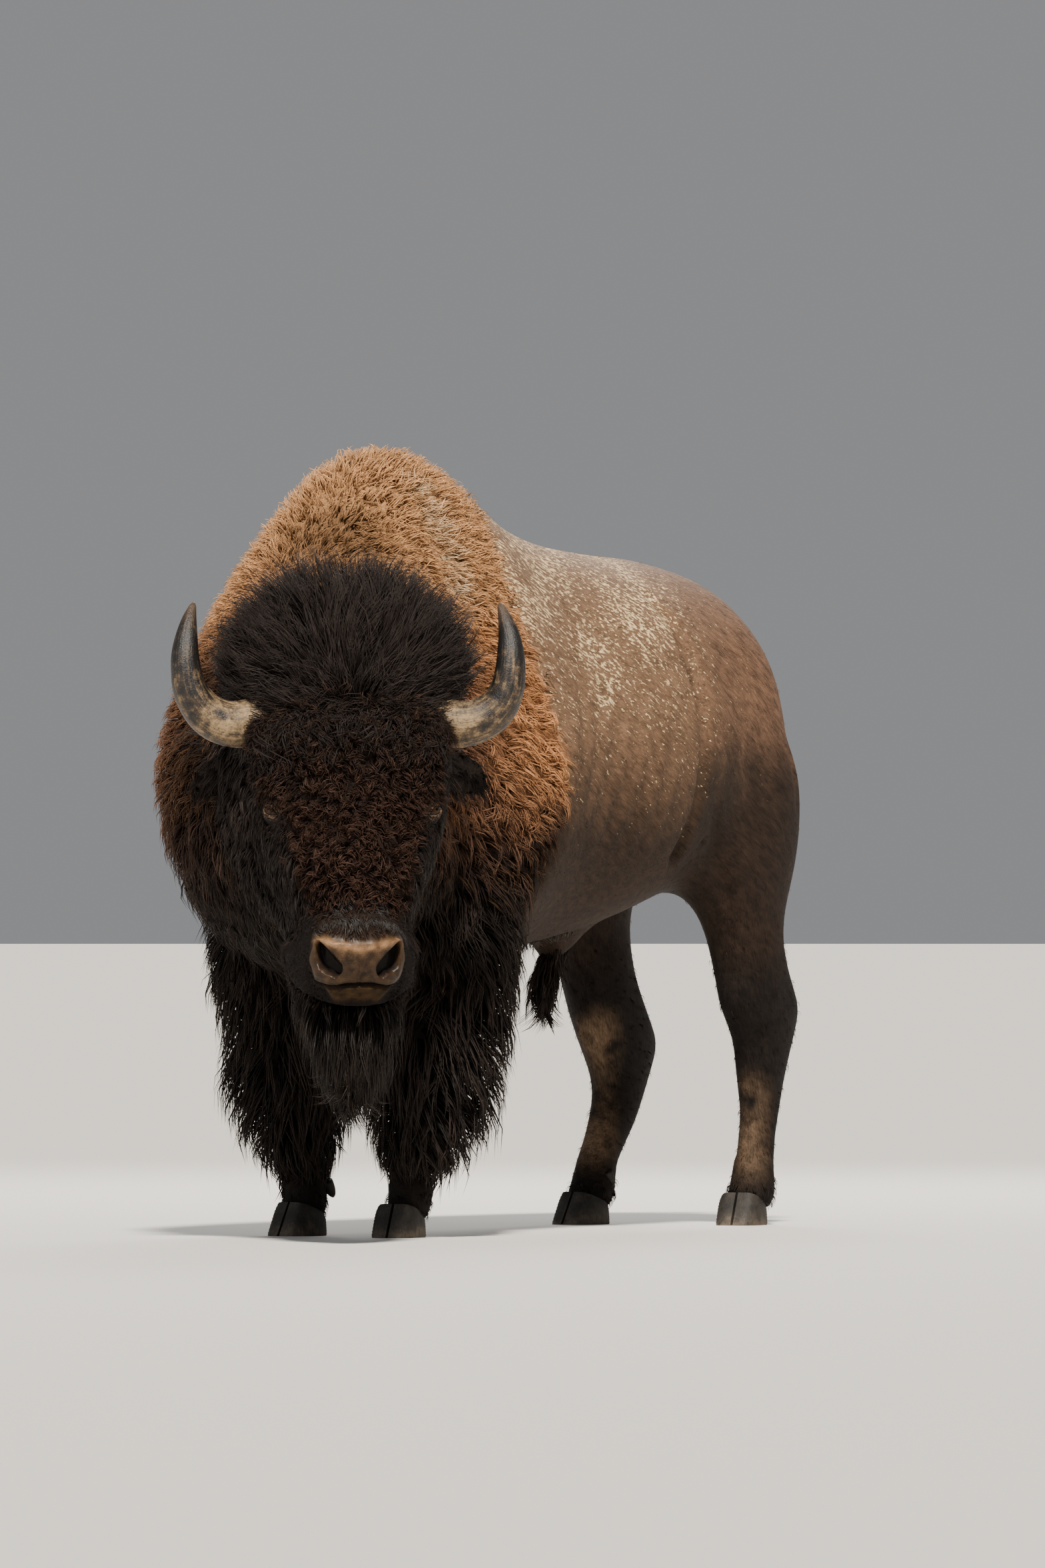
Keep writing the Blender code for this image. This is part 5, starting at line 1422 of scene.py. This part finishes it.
# ---- Short coat ----------------------------------------------------------------------
# Behind the cape the summer coat is sleek: small flat tufts break its outline on back, rump,
# belly and hind legs, with a low dark crest behind the hump and longer hair along the belly.
# The tufts are painted lighter than the hide they lie on, as painted light against their own shading.
short_finish = hair_finish("short_sleek_coat", 1.4, 1.6, (0.16, 0.105, 0.07), 0.05, 0.8, 0.05, 0.25)
on_tail = smooth_step(1.63, 1.66, back) * smooth_step(1.45, 1.35, up)
locks("body_tufts", short_finish, hide, on_top["rear"] * (1 - on_tail), 71, 2200, 2, 0.022,
      0.0012, rise=0.35, wander=0.2, swirl=0.3, spread=0.006, stations=2)
crest_finish = hair_finish("dark_crest", 0.6, 1.1, (0.10, 0.055, 0.032), 0.15, 0.7, 0.15)
dark_hide = dict(hide, colours=np.tile(np.array(RUSSET) * 0.6, (lid_start, 1)))
crest = (smooth_step(0.055, 0.030, np.abs(across)) * smooth_step(0.10, 0.20, back)
         * smooth_step(0.62, 0.45, back))
locks("crest", crest_finish, dark_hide, crest * (up > 1.2), 72, 130, 6, 0.034, 0.0028, rise=1.1,
      bow=1.6, wander=0.25, gather=0.5, stations=3, lift=0.006)
fringe = smooth_step(0.85, 0.75, up) * smooth_step(0.16, 0.08, np.abs(across)) * smooth_step(0.20, 0.30, back)
locks("belly_fringe", chest_finish, hide, fringe * smooth_step(0.80, 0.60, back), 73, 150, 6,
      0.050, 0.0030, rise=1.0, bow=1.6, wander=0.3, droop=0.35, curl=(0.003, 0.7), spread=0.012, stations=4)

straight_down = unit(-UP + 0 * coat_top)
shanks = (smooth_step(0.72, 0.60, up) * smooth_step(0.08, 0.12, up) * smooth_step(0.95, 1.05, back)
          * (back < 1.62))
shank_ground = dict(hide, lie=unit(-UP + 0.25 * np.array((0.0, 1.0, 0.0)) + 0.5 * coat_normals),
                    reach=0.0045 * coat_normals)
locks("shank_hair", short_finish, shank_ground, shanks, 75, 800, 3, 0.026, 0.0015, rise=1.0,
      wander=0.25, spread=0.008, stations=2)
coronets = smooth_step(0.045, 0.060, up) * smooth_step(0.125, 0.100, up)
locks("coronet_hair", stubble_finish, dict(hide, lie=straight_down, reach=0.006 * coat_normals),
      coronets, 74, 420, 3, 0.030, 0.0022, rise=1.0, wander=0.2, spread=0.008, stations=3, lift=0.005)

# ---- Tail and sheath -----------------------------------------------------------------
# A thin tail ending in a switch of long dark hair, and the matted tuft that hangs from the
# sheath under the belly.
switch = (smooth_step(1.60, 1.66, back) * smooth_step(0.86, 0.76, up) * (up > 0.5)
          * (np.abs(across - 0.014) < 0.08))
switch *= coat_normals[:, 2] > -0.55
locks("tail_switch", chest_finish, dict(hide, lie=straight_down), switch, 81, 130, 5, 0.075,
      0.0036, rise=0.8, run=1.1, wander=0.15, droop=0.1, curl=(0.005, 1.0), gather=0.35)
locks("tail_hair", short_finish, hide, on_tail * (1 - switch) * (up > 0.7), 82, 160, 5, 0.022,
      0.0020, rise=0.9, wander=0.2, spread=0.008, gather=0.8, stations=3)
below = at_sheath * (np.abs(across) < 0.12)
locks("sheath_tuft", chest_finish, dict(hide, lie=straight_down), below, 83, 90, 6, 0.065,
      0.0034, rise=0.9, run=1.2, wander=0.2, droop=0.3, curl=(0.004, 1.0), spread=0.012, gather=0.3)

# ---- Floor, light and camera ---------------------------------------------------------
# A plain pale floor that runs on to the skyline, soft studio light, and a long lens far off.
# They show the bull and are no part of it.
FLOOR_REACH, FLOOR_CORNERS = 160, 96
floor_turn = np.linspace(0, 2 * np.pi, FLOOR_CORNERS, endpoint=False)
floor_points = FLOOR_REACH * np.column_stack([np.cos(floor_turn), np.sin(floor_turn), 0 * floor_turn])
floor = mesh_piece("floor", floor_points, np.arange(FLOOR_CORNERS)[None, :], smooth=False)
floor.data.materials.append(finish_of("floor_pale", (0.60, 0.58, 0.55), 0.9)[0])

studio = bpy.data.worlds.new("studio")
bpy.context.scene.world = studio
studio.use_nodes = True
studio.node_tree.nodes["Background"].inputs["Color"].default_value = (0.88, 0.89, 0.91, 1)
studio.node_tree.nodes["Background"].inputs["Strength"].default_value = 0.30


def lamp(name, kind, toward_light, power, size, colour):
    """A sun of this angular size, or a square soft box of this width, lighting the bull from a place."""
    light = bpy.data.lights.new(name, kind)
    light.energy = power
    light.color = colour
    if kind == "SUN":
        light.angle = size
    else:
        light.size = size
    holder = bpy.data.objects.new(name, light)
    holder.location = toward_light
    holder.rotation_euler = (Vector((0, 0, 0.9)) - Vector(toward_light)).to_track_quat("-Z", "Y").to_euler()
    bpy.context.scene.collection.objects.link(holder)


lamp("key_light", "SUN", (3.0, -4.6, 7.4), 8.4, 0.10, (1.0, 0.94, 0.85))
lamp("fill_light", "AREA", (-3.5, -7.0, 3.0), 110, 4.0, (0.94, 0.96, 1.0))
lamp("back_light", "AREA", (-2.5, 5.5, 5.0), 420, 3.0, (1.0, 0.97, 0.93))

VIEW_TURN = np.radians(30)  # how far round the viewer stands from straight ahead, to the bull's left
VIEW_AWAY, VIEW_HEIGHT, AIM_HEIGHT = 35.0, 0.8, 1.0156
BESIDE_ZERO = 0.367  # how far to the right of the body's zero the camera aims
view_right = np.array((np.cos(VIEW_TURN), np.sin(VIEW_TURN), 0.0))
view_away = np.array((-np.sin(VIEW_TURN), np.cos(VIEW_TURN), 0.0))
aim = body_zero + BESIDE_ZERO * view_right + AIM_HEIGHT * UP
stand = body_zero + BESIDE_ZERO * view_right - VIEW_AWAY * view_away + VIEW_HEIGHT * UP
lens = bpy.data.cameras.new("camera")
lens.lens = 357.86
lens.sensor_width = 36
lens.clip_end = 400
camera = bpy.data.objects.new("camera", lens)
camera.location = stand
camera.rotation_euler = Vector(aim - stand).to_track_quat("-Z", "Y").to_euler()
bpy.context.scene.collection.objects.link(camera)
bpy.context.scene.camera = camera
